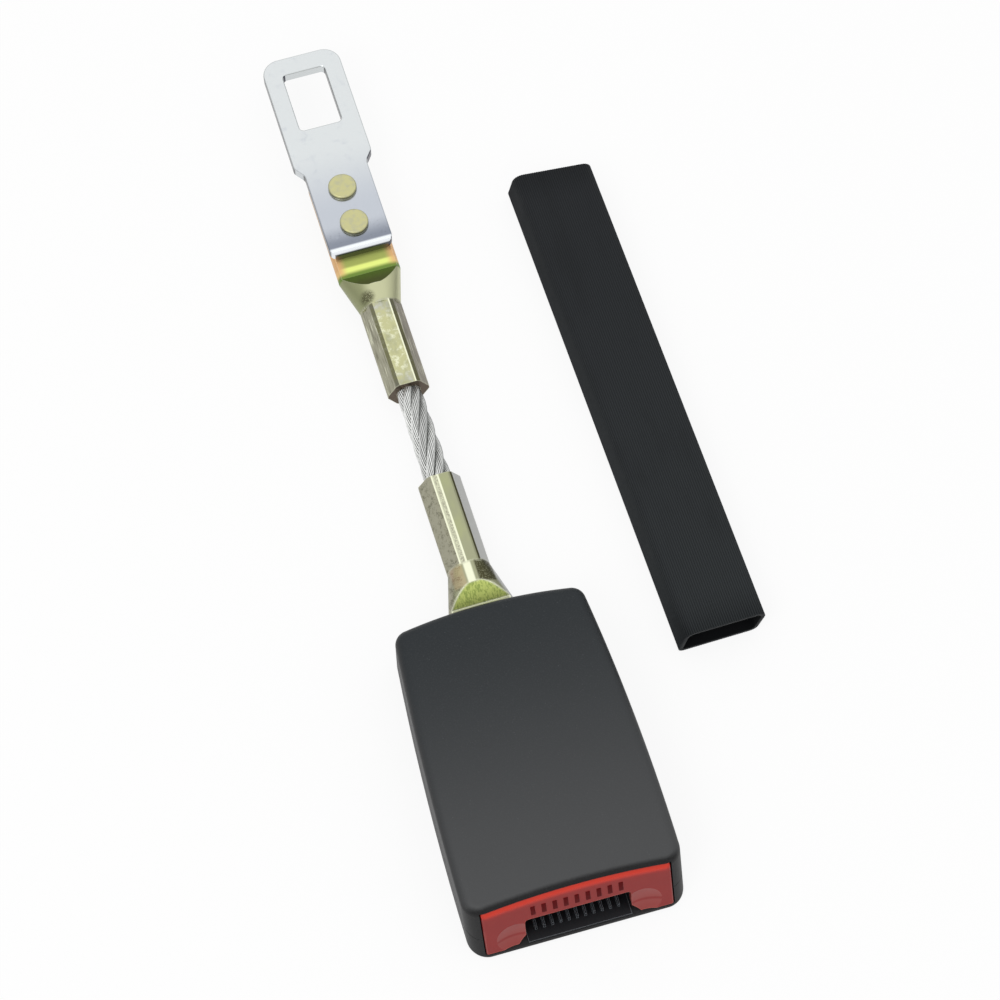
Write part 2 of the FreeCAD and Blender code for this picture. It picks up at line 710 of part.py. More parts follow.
def make_button():
    """Red push button: sloping face, top deck and two ramped arms."""
    foot = "floor_wall + slip_gap"
    slope = "tan(face_lean)"
    deck_under = "button_top - button_deck_thick"
    inner = "mouth + button_face_thick / cos(face_lean)"
    blank = new_body("button_blank")
    profile = polygon(new_sketch(blank, "YZ"), [
        (f"mouth + ({foot}) * {slope}", foot), (f"{inner} + ({foot}) * {slope}", foot),
        (f"{inner} + ({deck_under}) * {slope}", deck_under), ("deck_rear", deck_under),
        ("deck_rear", "buckle_thick"), (f"mouth + buckle_thick * {slope}", "buckle_thick"),
    ])
    pad(blank, profile, "button_wide")
    body = new_body("release_button")
    body.BaseFeature = joined("MultiCommon", "crowned_button", [blank, crown("button", "button_lip")])
    DOC.recompute()

    def over_face(edge):
        bounds = edge.BoundBox
        is_high = bounds.ZMin > value("button_top") - value("slip_gap")
        is_front = bounds.YMax < value("face_head") + value("button_edge_round")
        return is_high and is_front and bounds.XLength > value("guide_half")

    round_edges(body, over_face, "button_edge_round")

    def beside_face(edge):
        bounds = edge.BoundBox
        is_front = bounds.YMin < value("mouth") + value("button_face_thick")
        return is_front and near(bounds.XLength, 0) and bounds.ZLength > value("guide_top")

    round_edges(body, beside_face, "button_side_round")
    for sign in ("-", ""):
        scoop = body.newObject("PartDesign::SubtractiveSphere", "thumb_scoop")
        bind(scoop, Radius="scoop_radius",
             Placement__Base__x=f"{sign}scoop_across",
             Placement__Base__y=(
                 f"mouth + scoop_height * {slope} - (scoop_radius - scoop_depth) * cos(face_lean)"),
             Placement__Base__z="scoop_height + (scoop_radius - scoop_depth) * sin(face_lean)")
        DOC.recompute()
    notch = polygon(new_sketch(body, "XZ", "mouth"), [
        ("-notch_foot_half", "0"), ("notch_foot_half", "0"),
        ("notch_half", "notch_flare_height"), ("notch_half", "notch_top"),
        ("-notch_half", "notch_top"), ("-notch_half", "notch_flare_height"),
    ])
    pocket(body, notch, "buckle_length")

    def is_notch_corner(edge):
        centre = middle(edge)
        lies_along = near(edge.BoundBox.XLength, 0) and near(edge.BoundBox.ZLength, 0)
        return lies_along and near(abs(centre.x), value("notch_half")) and near(centre.z, value("notch_top"))

    round_edges(body, is_notch_corner, "notch_round")
    ramp_foot = "ear_height - ramp_under_ear - (arm_end - ear_along) * tan(ramp_angle)"
    ramp_head = "ear_height - ramp_under_ear + button_travel * tan(ramp_angle)"
    arm_corners = [
        ("mouth + button_deck_length", "arm_foot_height"), ("arm_end", "arm_foot_height"),
        ("arm_end", ramp_foot), ("ear_along - button_travel", ramp_head),
        ("mouth + button_deck_length", ramp_head),
    ]
    seat_top = "button_spring_height + button_spring_radius + button_spring_wire"
    for sign in ("-", ""):
        arm = polygon(new_sketch(body, "YZ", f"{sign}(arm_inner + arm_thick / 2)"), arm_corners)
        pad(body, arm, "arm_thick")
        root = polygon(new_sketch(body, "YZ", f"{sign}(arm_inner + half_button - slip_gap) / 2"), [
            (f"{inner} + arm_foot_height * {slope} - root_overlap", "arm_foot_height"),
            ("button_spring_front", "arm_foot_height"), ("button_spring_front", seat_top),
            (f"{inner} + ({seat_top}) * {slope} - root_overlap", seat_top),
        ])
        pad(body, root, "half_button - slip_gap - arm_inner")
    return body


# Ferrules, rope, rivets and tongue


def add_ellipse(sketch, half_wide, half_tall):
    """Ellipse about the sketch's origin, wider than it is tall."""
    centre = FreeCAD.Vector(0, 0, 0)
    shape = Part.Ellipse(FreeCAD.Vector(2, 0, 0), FreeCAD.Vector(0, 1, 0), centre)
    curve = sketch.addGeometry(shape, False)
    sketch.exposeInternalGeometry(curve)
    sketch.addConstraint(Sketcher.Constraint("Coincident", curve, 3, -1, 1))
    major = curve + 1
    minor = curve + 2
    sketch.addConstraint(Sketcher.Constraint("Horizontal", major))
    for line, length in ((major, half_wide), (minor, half_tall)):
        index = sketch.addConstraint(Sketcher.Constraint("Distance", line, 2.0))
        sketch.setExpression(f"Constraints[{index}]", bound(f"2 * ({length})"))
    return sketch


def hexagon_corners():
    """Hexagon pressed by a die, each of its six corners left as a narrow flat."""
    side_flat = ("half_corners - corner_trim / 2", "hex_corner_flat / 2")
    die_edge = ("(half_corners + corner_trim) / 2", "half_flats - hex_corner_flat / 2")
    top_edge = ("half_corners / 2 - corner_trim", "half_flats")
    quarter = [side_flat, die_edge, top_edge]
    upper = quarter + [(f"-({across})", up) for across, up in reversed(quarter)]
    return upper + [(across, f"-({up})") for across, up in reversed(upper)]


def make_ferrule(label):
    """Crimped hexagonal ferrule with a flattened tab. Its own +Y runs from the tab to the rope."""
    body = new_body(label)
    hexagon = new_sketch(body, "XZ", "(hex_start + hex_end) / 2")
    polygon(hexagon, hexagon_corners())
    pad(body, hexagon, "hex_length")
    neck = circle(new_sketch(body, "XZ", "hex_start + slip_gap"), "0", "0", "half_flats + slip_gap")
    tail = new_sketch(body, "XZ", "-ramp_length")
    add_ellipse(tail, "tab_wide / 2", "half_flats")
    flare = body.newObject("PartDesign::AdditiveLoft", f"{label}_flare")
    flare.Profile = neck
    flare.Sections = [tail]
    flare.Ruled = False
    DOC.recompute()
    tab = new_sketch(body, "XZ", "-(tab_length + ramp_length) / 2")
    pad(body, add_ellipse(tab, "tab_wide / 2", "half_flats"), "tab_length - ramp_length")
    for sign in ("-", ""):
        die = polygon(new_sketch(body, "YZ"), [
            ("0", f"{sign}half_flats"), ("-ramp_length", f"{sign}half_tab"),
            ("-2 * tab_length", f"{sign}half_tab"), ("-2 * tab_length", f"{sign}2 * hex_flats"),
            ("0", f"{sign}2 * hex_flats"),
        ])
        pocket(body, die, "through")
    bore = new_sketch(body, "XZ", "hex_end - rope_grip / 2")
    pocket(body, circle(bore, "0", "0", "rope_radius + rope_gap"), "rope_grip + 2 * rope_gap")
    for place in ("first_rivet", "second_rivet"):
        hole = circle(new_sketch(body, "XY"), "0", f"-{place}", "rivet_shank_radius + pin_gap")
        pocket(body, hole, "2 * tab_thick")
    end = -value("tab_length")

    def at_end_side(edge):
        bounds = edge.BoundBox
        return near(bounds.YMin, end) and near(bounds.YMax, end) and bounds.ZLength > value("half_tab")

    round_edges(body, at_end_side, "tab_corner_round")
    bind(body, Placement__Base__z="strap_height")
    DOC.recompute()
    return body


def place_on_strap(body, along="0", turn="0"):
    """Put a piece at its distance along the strap, which swings about its rear anchor rivet."""
    body.Placement = FreeCAD.Placement(body.Placement.Base, FreeCAD.Rotation(UP, 1))
    bind(body, Placement__Base__x=f"-({along} - strap_pivot) * sin(strap_turn)",
         Placement__Base__y=f"strap_pivot + ({along} - strap_pivot) * cos(strap_turn)",
         Placement__Rotation__Angle=f"strap_turn + {turn}")
    return body


def make_ferrules():
    return [
        place_on_strap(make_ferrule("lower_ferrule"), "lower_arch"),
        place_on_strap(make_ferrule("upper_ferrule"), "upper_arch", "180"),
    ]


def make_rope():
    """Wire rope between the ferrules, which grip its two ends."""
    body = new_body("wire_rope")
    section = new_sketch(body, "XZ", "(lower_rope_exit + upper_rope_exit) / 2")
    pad(body, circle(section, "0", "strap_height", "rope_radius"), "rope_exposed + 2 * rope_grip")
    return place_on_strap(body)


def make_rivet(label, levels):
    """Turned rivet. Levels are (radius, height) pairs up its outline."""
    body = new_body(label)
    sketch = new_sketch(body, "XZ")
    corners = [("0", levels[0][1]), *levels, ("0", levels[-1][1])]
    polygon(sketch, corners)
    revolve(body, sketch)
    top = body.Shape.BoundBox.ZMax
    round_edges(body, lambda edge: near(edge.BoundBox.ZMin, top), "rivet_edge_round")
    return body


def make_rivets():
    shank = "rivet_shank_radius"
    head = "rivet_head_radius"
    anchor = [
        (shank, "floor_wall"), (shank, "plate_under"),
        (head, "plate_under"), (head, "plate_under + rivet_head_thick"),
    ]
    tongue = [
        (head, "base_top - rivet_tail_thick"), (head, "base_top"), (shank, "base_top"),
        (shank, "plate_top"), (head, "plate_top"), (head, "plate_top + rivet_head_thick"),
    ]
    return [
        place_on_strap(make_rivet("anchor_rivet_front", anchor), "lower_arch - second_rivet"),
        place_on_strap(make_rivet("anchor_rivet_rear", anchor), "lower_arch - first_rivet"),
        place_on_strap(make_rivet("tongue_rivet_near", tongue), "upper_arch + first_rivet"),
        place_on_strap(make_rivet("tongue_rivet_far", tongue), "upper_arch + second_rivet"),
    ]


def make_tongue():
    """Stamped plate with a latch window, riveted on the upper ferrule's tab."""
    body = new_body("tongue_plate")
    mid_height = "(plate_under + plate_top) / 2"
    blank = new_sketch(body, "XY", mid_height)
    half_narrow = "narrow_wide / 2"
    half_head = "tongue_wide / 2"
    polygon(blank, [
        (f"-{half_narrow}", "plate_heel"), (half_narrow, "plate_heel"),
        (half_narrow, "narrow_end"), (half_head, "head_start"),
        (half_head, "tongue_tip"), (f"-{half_head}", "tongue_tip"),
        (f"-{half_head}", "head_start"), (f"-{half_narrow}", "narrow_end"),
    ])
    pad(body, blank, "tongue_thick")

    def upright_at(place):
        return lambda edge: is_upright(edge) and near(middle(edge).y, value(place))

    round_edges(body, upright_at("tongue_tip"), "head_corner_round")
    round_edges(body, upright_at("plate_heel"), "heel_corner_round")
    round_edges(body, upright_at("narrow_end"), "shoulder_round")
    round_edges(body, upright_at("head_start"), "shoulder_round")
    window = new_sketch(body, "XY", mid_height)
    rectangle(window, "-window_wide / 2", "window_wide / 2", "window_near", "window_far")
    pocket(body, window, "2 * tongue_thick")
    half_window = value("window_wide") / 2
    round_edges(
        body, lambda edge: is_upright(edge) and near(abs(middle(edge).x), half_window), "window_round")
    for place in ("first_rivet", "second_rivet"):
        hole = new_sketch(body, "XY", mid_height)
        circle(hole, "0", f"upper_arch + {place}", "rivet_shank_radius + pin_gap")
        pocket(body, hole, "2 * tongue_thick")
    top = value("plate_top")
    round_edges(
        body, lambda edge: near(edge.BoundBox.ZMin, top) and not is_rivet_hole(edge), "plate_edge_round")
    roll = outside_corner(new_sketch(body, "YZ"), "plate_heel", "plate_top", "heel_roll")
    pocket(body, roll, "2 * tongue_wide")
    return place_on_strap(body)


def outside_corner(sketch, along, top, radius):
    """Outline of the waste outside a rounded corner that faces towards -Y and up."""
    size = value(radius)
    corner = FreeCAD.Vector(value(along), value(top), 0)
    spots = ((0, -1), (-1, -1), (-1, 1), (1, 1), (1, 0))
    corners = [(f"{along} + {across} * {radius}", f"{top} + {up} * {radius}") for across, up in spots]
    start = [corner + FreeCAD.Vector(*spot, 0) * size for spot in spots]
    lines = [
        sketch.addGeometry(Part.LineSegment(one, other), False) for one, other in zip(start, start[1:])
    ]
    inner = Part.Circle(corner + FreeCAD.Vector(size, -size, 0), UP, size)
    arc = sketch.addGeometry(Part.ArcOfCircle(inner, math.pi / 2, math.pi), False)
    for line, following in zip(lines, lines[1:]):
        sketch.addConstraint(Sketcher.Constraint("Coincident", line, 2, following, 1))
    sketch.addConstraint(Sketcher.Constraint("Coincident", lines[-1], 2, arc, 1))
    sketch.addConstraint(Sketcher.Constraint("Coincident", arc, 2, lines[0], 1))
    index = sketch.addConstraint(Sketcher.Constraint("Radius", arc, size))
    sketch.setExpression(f"Constraints[{index}]", bound(radius))
    for line, (across, up), drawn in zip(lines, corners, start):
        fix_point(sketch, line, 1, across, up, drawn)
    fix_point(sketch, lines[-1], 2, *corners[-1], start[-1])
    return sketch


def is_rivet_hole(edge):
    radius = value("rivet_shank_radius") + value("pin_gap")
    return isinstance(edge.Curve, Part.Circle) and near(edge.Curve.Radius, radius)


# Springs


def coil(label, radius, wire, turns, start, end):
    """Round-wire spring as straight facets, from one point to another."""
    axis = end - start
    length = axis.Length
    axis.normalize()
    across = FreeCAD.Vector(1, 0, 0)
    over = axis.cross(across)
    half = wire / 2
    steps = int(round(turns)) * COIL_STEPS
    rings = []
    for step in range(steps + 1):
        turn = 2 * math.pi * step / COIL_STEPS
        outward = across * math.cos(turn) + over * math.sin(turn)
        centre = start + outward * radius + axis * (half + (length - wire) * step / steps)
        rings.append([
            centre + outward * (side_out * half) + axis * (side_along * half)
            for side_out, side_along in COIL_SECTION
        ])
    sides = len(COIL_SECTION)
    faces = []

    def facet(*points):
        faces.append(Part.Face(Part.makePolygon([*points, points[0]])))

    for ring, following in zip(rings, rings[1:]):
        for side in range(sides):
            beside = (side + 1) % sides
            facet(ring[side], ring[beside], following[side])
            facet(ring[beside], following[beside], following[side])
    facet(*rings[0])
    facet(*rings[-1])
    shell = Part.makeShell(faces)
    shell.sewShape()
    solid = Part.makeSolid(shell)
    if solid.Volume < 0:
        solid.reverse()
    item = DOC.addObject("Part::Feature", label)
    item.Label = label
    item.Shape = solid
    return item


def make_springs():
    springs = []
    point = FreeCAD.Vector
    for name, sign in (("left", -1), ("right", 1)):
        across = sign * value("spring_across")
        up = value("button_spring_height")
        springs.append(coil(
            f"button_spring_{name}", value("button_spring_radius"), value("button_spring_wire"),
            value("button_spring_turns"), point(across, value("button_spring_front"), up),
            point(across, value("button_spring_rear"), up)))
    up = value("ejector_under") + value("ejector_tall") / 2
    springs.append(coil(
        "ejector_spring", value("ejector_spring_radius"), value("ejector_spring_wire"),
        value("ejector_spring_turns"), point(0, value("ejector_rear"), up),
        point(0, value("ejector_spring_end"), up)))
    along = value("latch_spring_along")
    foot = value("latch_plate_under") + value("latch_plate_thick")
    springs.append(coil(
        "latch_spring", value("latch_spring_radius"), value("latch_spring_wire"),
        value("latch_spring_turns"), point(0, along, foot), point(0, along, value("boss_bottom"))))
    return springs


# Taken-off sleeve


def make_sleeve():
    """Soft flattened tube, lying on the floor beside the strap that it covers in use."""
    body = new_body("sleeve")
    outer = rectangle(new_sketch(body, "XZ"), "-sleeve_wide / 2", "sleeve_wide / 2", "0", "sleeve_tall")
    pad(body, outer, "sleeve_length")

    def runs_along(edge):
        return edge.BoundBox.YLength > value("sleeve_length") / 2

    round_edges(body, runs_along, "sleeve_round")

    def oblique_end(across):
        return f"sleeve_length / 2 - ({across} + sleeve_wide / 2) * tan(sleeve_end_lean)"

    waste = polygon(new_sketch(body, "XY"), [
        ("-sleeve_wide", oblique_end("-sleeve_wide")), ("sleeve_wide", oblique_end("sleeve_wide")),
        ("sleeve_wide", "sleeve_length"), ("-sleeve_wide", "sleeve_length"),
    ])
    pocket(body, waste, "through")
    inner = new_body("sleeve_hollow")
    hollow = rectangle(
        new_sketch(inner, "XZ"), "-sleeve_wide / 2 + sleeve_wall", "sleeve_wide / 2 - sleeve_wall",
        "sleeve_wall", "sleeve_tall - sleeve_wall")
    pad(inner, hollow, "2 * sleeve_length")
    round_edges(inner, runs_along, "sleeve_round - sleeve_wall")
    body.Label = "sleeve_outer"
    tube = cut("sleeve_tube", body, inner)
    tube.Label = "sleeve"
    tube.Placement = FreeCAD.Placement(FreeCAD.Vector(), FreeCAD.Rotation(UP, 1))
    bind(tube, Placement__Base__x="sleeve_across", Placement__Base__y="sleeve_along",
         Placement__Rotation__Angle="sleeve_turn")
    return tube


def check(nodes):
    for item in DOC.Objects:
        if "Invalid" in item.State or "Error" in item.State:
            raise ValueError(f"{item.Label} failed: {item.State}")
    for node in nodes:
        if node.Shape.isNull() or not node.Shape.isValid():
            raise ValueError(f"{node.Label} has no valid shape")


def main():
    nodes = [
        *make_covers(),
        make_mouth_guide(),
        make_frame(),
        make_latch_pin(),
        make_latch(),
        make_ejector(),
        make_button(),
        *make_ferrules(),
        make_rope(),
        *make_rivets(),
        make_tongue(),
        *make_springs(),
        make_sleeve(),
    ]
    DOC.recompute()
    check(nodes)
    os.makedirs("parts", exist_ok=True)
    for node in nodes:
        node.Shape.exportStep(f"parts/{node.Label}.step")
        print(node.Label, len(node.Shape.Solids), round(node.Shape.Volume, 1))


main()
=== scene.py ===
"""Seat belt extender: finishes, laid wire rope, ribbed sleeve and a plain studio stage."""

import math
import random
from itertools import product

import bmesh
import bpy
from bpy.props import FloatProperty, FloatVectorProperty, IntProperty, PointerProperty
from mathutils import Color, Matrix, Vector


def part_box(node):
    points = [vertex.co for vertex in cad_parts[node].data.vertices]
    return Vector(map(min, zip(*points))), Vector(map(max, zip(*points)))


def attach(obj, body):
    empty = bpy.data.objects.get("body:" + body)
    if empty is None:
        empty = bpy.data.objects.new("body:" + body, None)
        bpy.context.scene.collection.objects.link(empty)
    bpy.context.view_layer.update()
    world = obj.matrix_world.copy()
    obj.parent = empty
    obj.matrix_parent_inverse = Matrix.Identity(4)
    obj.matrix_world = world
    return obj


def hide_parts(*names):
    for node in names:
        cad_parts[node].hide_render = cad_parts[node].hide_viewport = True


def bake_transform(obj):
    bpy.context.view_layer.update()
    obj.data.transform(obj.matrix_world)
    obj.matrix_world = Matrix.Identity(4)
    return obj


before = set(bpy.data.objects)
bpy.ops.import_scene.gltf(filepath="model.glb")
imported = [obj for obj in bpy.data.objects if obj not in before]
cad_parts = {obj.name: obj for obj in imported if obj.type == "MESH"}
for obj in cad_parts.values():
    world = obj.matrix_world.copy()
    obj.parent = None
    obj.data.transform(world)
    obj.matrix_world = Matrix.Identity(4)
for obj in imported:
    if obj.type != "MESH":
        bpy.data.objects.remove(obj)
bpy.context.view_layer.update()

bl_info = {
    "name": "Seat belt extender",
    "version": (1, 0, 0),
    "blender": (4, 5, 0),
    "location": "3D View > Sidebar > Extender",
    "description": "Finishes, rope, sleeve and studio of a seat belt extender",
    "category": "Object",
}

MM = 0.001
SCREEN_LEVELS = 255
FULL_TURN = 2 * math.pi
RIGHT = Vector((1, 0, 0))
UP = Vector((0, 0, 1))
SENSOR_WIDTH = 36
FLAT_ENOUGH = math.radians(5)
BEVEL_SAMPLES = 6
WHITE = (1, 1, 1, 1)
FLOOR_TONE = (0.9, 0.9, 0.9, 1.0)

# Lamps, in metres from the camera's aim
TOP_LAMP_SIZE = 2.4
TOP_LAMP_PLACE = Vector((0.1, 0.5, 1.3))
KEY_LAMP_SIZE = 0.6
KEY_LAMP_PLACE = Vector((-0.7, -0.5, 1.0))

# Stretch of a texture along each axis, and the richer textures' detail
EVEN = (1, 1, 1)
BRUSHED = (1, 0.4, 1)
DRAWN_ALONG = (1, 0.1, 1)
DRAWN_ACROSS = (0.1, 1, 1)
RICH = {"detail": 3.0, "roughness": 0.6}

# Range of a strand's shade, and of what each wire adds to it
STRAND_SHADES = (0.8, 1.0)
WIRE_SHADES = (-0.25, 0.05)

# Lean of the button's face, and of a ferrule's faces where a mark starts and is full
BUTTON_SLOPE = math.radians(21)
CORNER_TILT = (0.3, 0.42)
FLAT_TILT = (0.6, 0.78)
SLOPE_TILT = (0.4, 0.47)
END_TILT = (0.9, 0.97)

# Marks on a ferrule, in millimetres from its mouth, each as the start and end of a soft edge
SLOPE = (30.4, 30.9)
UPPER_MOUTH = (1.0, 2.0)
UPPER_MIDDLE = 12.5
UPPER_HEXAGON = (25.0, 26.2)
UPPER_GREENING = (32.0, 36.5)
UPPER_FLAT = (35.2, 36.0)
# Painted reflection band on the flat tab
UPPER_REFLECTION_BAND = (36.6, 38.0)
# Painted shadow line under the tongue plate's edge
UPPER_LIP_SHADOW = (38.6, 39.4)
FLUSH_START = (36.2, 38.0)
LOWER_HEXAGON = (25.0, 26.0)
NECK_END = (31.0, 32.0)

# The same across it, from the strap's middle
UPPER_SHADE = (-4.2, -1.0)
FLUSH_SIDES = (5.0, 7.4)
LOWER_SPECKLE = (-2.0, -1.3)

# The same on the tongue, from its heel
# Painted shade on the heel's edge
HEEL_SHADE_END = (0.25, 0.45)
# Painted white reflection along the heel
HEEL_REFLECTION_END = (1.5, 2.2)
# Dimmer painted reflection above the heel
HEEL_DIM_END = (2.6, 9.0)
CLOUDS_START = (2.2, 2.8)
PITS_START = (2.4, 3.0)
PITS_END = (4.5, 9.0)
HEAD_START = (12.0, 34.0)

# The same up the buckle, from the table
# Height over which the painted shade on the casing's foot fades out
CASING_FOOT_SHADE = (4.0, 8.0)
DISH_TOP = (9.6, 10.6)
CROWN_START = (12.0, 13.0)

# Lines along a ferrule, in millimetres: middle, half width and soft edge
# Painted highlight line along the upper ferrule
UPPER_HIGHLIGHT_LINE = (2.1, 0.12, 0.12)
# Painted highlight strip along the lower ferrule
LOWER_HIGHLIGHT_STRIP = (-1.3, 0.85, 0.08)
# Painted highlight lines beside the strip
LOWER_HIGHLIGHT_LEFT = (-2.15, 0.2, 0.1)
LOWER_HIGHLIGHT_RIGHT = (-0.45, 0.2, 0.1)
# Painted shade line at the right bend
LOWER_SHADE_LINE = (3.05, 0.26, 0.12)
NECK_SCALE = (3.4, 1.8, 0.6)
NECK_GLINT = (-0.6, 0.7, 0.5)
NECK_FLUSH = (-3.6, 1.2, 0.8)

# Dark painted shade of a dent, in millimetres: its place across and along, and its soft edge
UPPER_DENT_SHADE = (-2.9, 27.6)
UPPER_DENT_SHADE_EDGE = (0.8, 2.6)


# Properties

def colour(name, note, shown):
    """Declare a colour as it shows on screen; it is kept as a shader's linear colour."""
    levels = Color([part / SCREEN_LEVELS for part in shown])
    linear = (*levels.from_srgb_to_scene_linear(), 1.0)
    return FloatVectorProperty(
        name=name, description=note, default=linear, subtype="COLOR", size=4, min=0, max=1
    )


def declarer(kind, scale=1, **settings):
    """Make a function that declares a property from a name, a note and a value."""
    def declare(name, note, value):
        return kind(name=name, description=note, default=value * scale, **settings)
    return declare


length = declarer(FloatProperty, MM, unit="LENGTH", subtype="DISTANCE", precision=5)
angle = declarer(FloatProperty, math.radians(1), unit="ROTATION", subtype="ANGLE")
share = declarer(FloatProperty, subtype="FACTOR", min=0, max=1)
level = declarer(FloatProperty, min=0)
count = declarer(IntProperty, min=1)


class EXTENDER_PG_plastics(bpy.types.PropertyGroup):
    """Colours and gloss of the casing, mouth, button and sleeve."""

    # Painted light and shade: the top is painted lighter near the button and darker near the rope
    casing_front: colour("Casing front", "Satin black near the button", (67, 68, 69))
    casing_rear: colour("Casing rear", "Cooler black near the rope", (25, 31, 35))
    # Painted shade on the casing's sides
    casing_side: colour("Casing side", "Deep black of the sides", (17, 18, 20))
    # Painted shade on the front lips and the foot
    casing_lip: colour("Casing lip", "Black of the front lips", (7, 7, 9))
    casing_fleck: colour("Casing fleck", "Paler specks in the grain", (88, 90, 92))
    casing_gloss: share("Casing roughness", "Roughness of the satin face", 0.5)
    grain: length("Grain", "Width of one grain", 0.35)
    guide: colour("Mouth", "Black of the mouth", (10, 11, 16))
    # Painted highlight along the mouth's rib edges, partly wear
    guide_edge: colour("Mouth edge", "Rubbed edges of the ribs", (118, 122, 128))
    # Painted highlight: bright red of the rounded top; also the paler mottle
    button: colour("Button", "Bright red of the top", (206, 52, 34))
    # Painted shade in the crease under the top
    button_crease: colour("Button crease", "Deep red under the top", (150, 14, 12))
    button_face: colour("Button face", "Duller red under the thumb", (131, 27, 25))
    # Painted light in the thumb dishes
    button_dish: colour("Button dish", "Paler red of the thumb dishes", (156, 78, 74))
    # Painted highlight along the edges, partly wear
    button_rim: colour("Button rim", "Rubbed pale red of the edges", (214, 120, 108))
    # Painted shade on the raised bars, for the shadow in pressed-in letters
    button_mark: colour("Button bars", "Darker red of the raised bars", (82, 3, 7))
    sleeve_near: colour("Sleeve near end", "Greyer black", (46, 50, 52))
    sleeve_far: colour("Sleeve far end", "Black of the far end", (36, 39, 42))
    # Painted shade in the grooves; also the mottle
    sleeve_groove: colour("Sleeve groove", "Grooves between the ribs", (17, 19, 21))
    # Painted shade inside the sleeve
    sleeve_bore: colour("Sleeve bore", "Inside of the sleeve", (8, 9, 11))


class EXTENDER_PG_metals(bpy.types.PropertyGroup):
    """Colours of the tongue, ferrules, rivets, rope and springs."""

    # Painted reflection: the head, brightest part of the plate's gradient
    chrome: colour("Tongue", "Plate of the head", (210, 214, 215))
    # Painted reflection along the rolled heel
    chrome_band: colour("Tongue heel band", "White band along the heel", (236, 240, 244))
    # Painted reflection, bluish middle of the gradient; also haze patches
    chrome_dull: colour("Tongue shade", "Plate round the rivets", (186, 191, 199))
    # Painted reflection, dimmer above the heel
    chrome_heel: colour("Tongue heel", "Plate above the edge", (132, 138, 150))
    # Painted shade on the left walls and the heel's edge
    chrome_edge: colour("Tongue edge", "Dark left walls", (18, 19, 23))
    # Painted shade on the wall under the shoulder
    chrome_corner: colour("Tongue corner", "Darkest wall, under the shoulder", (22, 20, 44))
    chrome_speck: colour("Tongue speck", "Tiny pits", (96, 96, 100))
    zinc: colour("Ferrule", "Pale yellow-green upper ferrule", (193, 193, 147))
    zinc_smooth: colour("Lower ferrule", "Smooth grey-green", (160, 162, 132))
    # Painted shade on the left flats; also grey speckle in the lower strip
    zinc_left: colour("Ferrule left", "Grey left flats", (160, 158, 138))
    # Painted shade on the upper ferrule's right flats
    zinc_right: colour("Ferrule right", "Brownish upper right flats", (132, 126, 112))
    # Chalky patches, and painted light on the lower ferrule's right flats
    zinc_pale: colour("Ferrule pale", "Pale lower right flats", (178, 179, 176))
    # Dark scale and streaks, and painted shade in the corners, a dent, a line and the rivets' sides
    zinc_dark: colour("Ferrule dark", "Scale in the pressed corners", (72, 70, 46))
    # Painted highlight on strips, lines, edges and a glint, and white wear in patches
    zinc_strip: colour("Ferrule strip", "Rubbed strips and edges", (238, 240, 212))
    zinc_lime: colour("Ferrule lime", "Yellow-green bloom", (196, 208, 118))
    # Painted reflection band on the flat tab
    zinc_band: colour("Ferrule band", "Brightest yellow-green", (226, 238, 132))
    # Painted shade: a dark reflection on the slope, shade on the flare's left and the shadow line
    # under the tab's edge
    zinc_olive: colour("Ferrule olive", "Olive shade on the slope", (88, 96, 46))
    zinc_brown: colour("Ferrule mouth", "Brown scale round the rope", (84, 70, 54))
    zinc_green: colour("Ferrule green", "Green bloom on the slope", (110, 136, 60))
    zinc_khaki: colour("Ferrule khaki", "Flare behind the hexagon", (192, 194, 156))
    zinc_flush: colour("Ferrule flush", "Rosy bloom at the end's sides", (224, 172, 124))
    rivet: colour("Rivet", "Pale yellow of the heads", (196, 193, 143))
    rivet_worn: colour("Rivet wear", "Greyer patches", (184, 183, 150))
    # Painted highlight on the rim, partly wear
    rivet_rim: colour("Rivet rim", "Rubbed rim of the heads", (240, 240, 222))
    wire: colour("Rope wire", "Galvanised wire", (252, 253, 251))
    wire_dull: colour("Rope haze", "Duller patches", (190, 191, 187))
    # Painted shade on the rope's right side
    wire_shade: colour("Rope shade", "Greyer right side", (128, 131, 128))
    # Painted shade between the wires
    wire_dark: colour("Rope gap", "Shade between the wires", (34, 34, 32))
    steel: colour("Inner steel", "Pressed frame and latch", (150, 152, 154))
    steel_line: colour("Steel line", "Darker drawn lines", (70, 70, 72))
    spring: colour("Spring", "Oiled spring wire", (104, 105, 108))


class EXTENDER_PG_strap(bpy.types.PropertyGroup):
    """Where the rope, ferrules and tongue lie on their swung line."""

    turn: angle("Turn", "Swing sideways", 1.12)
    pivot: length("Pivot", "Place of the swing, along", 30.85)
    lower_mouth: length("Lower mouth", "Lower ferrule's mouth, along", 80.85)
    upper_mouth: length("Upper mouth", "Upper ferrule's mouth, along", 108.05)
    heel: length("Heel", "Tongue's rolled heel, along", 150.05)
    height: length("Height", "Height of the rope's middle", 6)


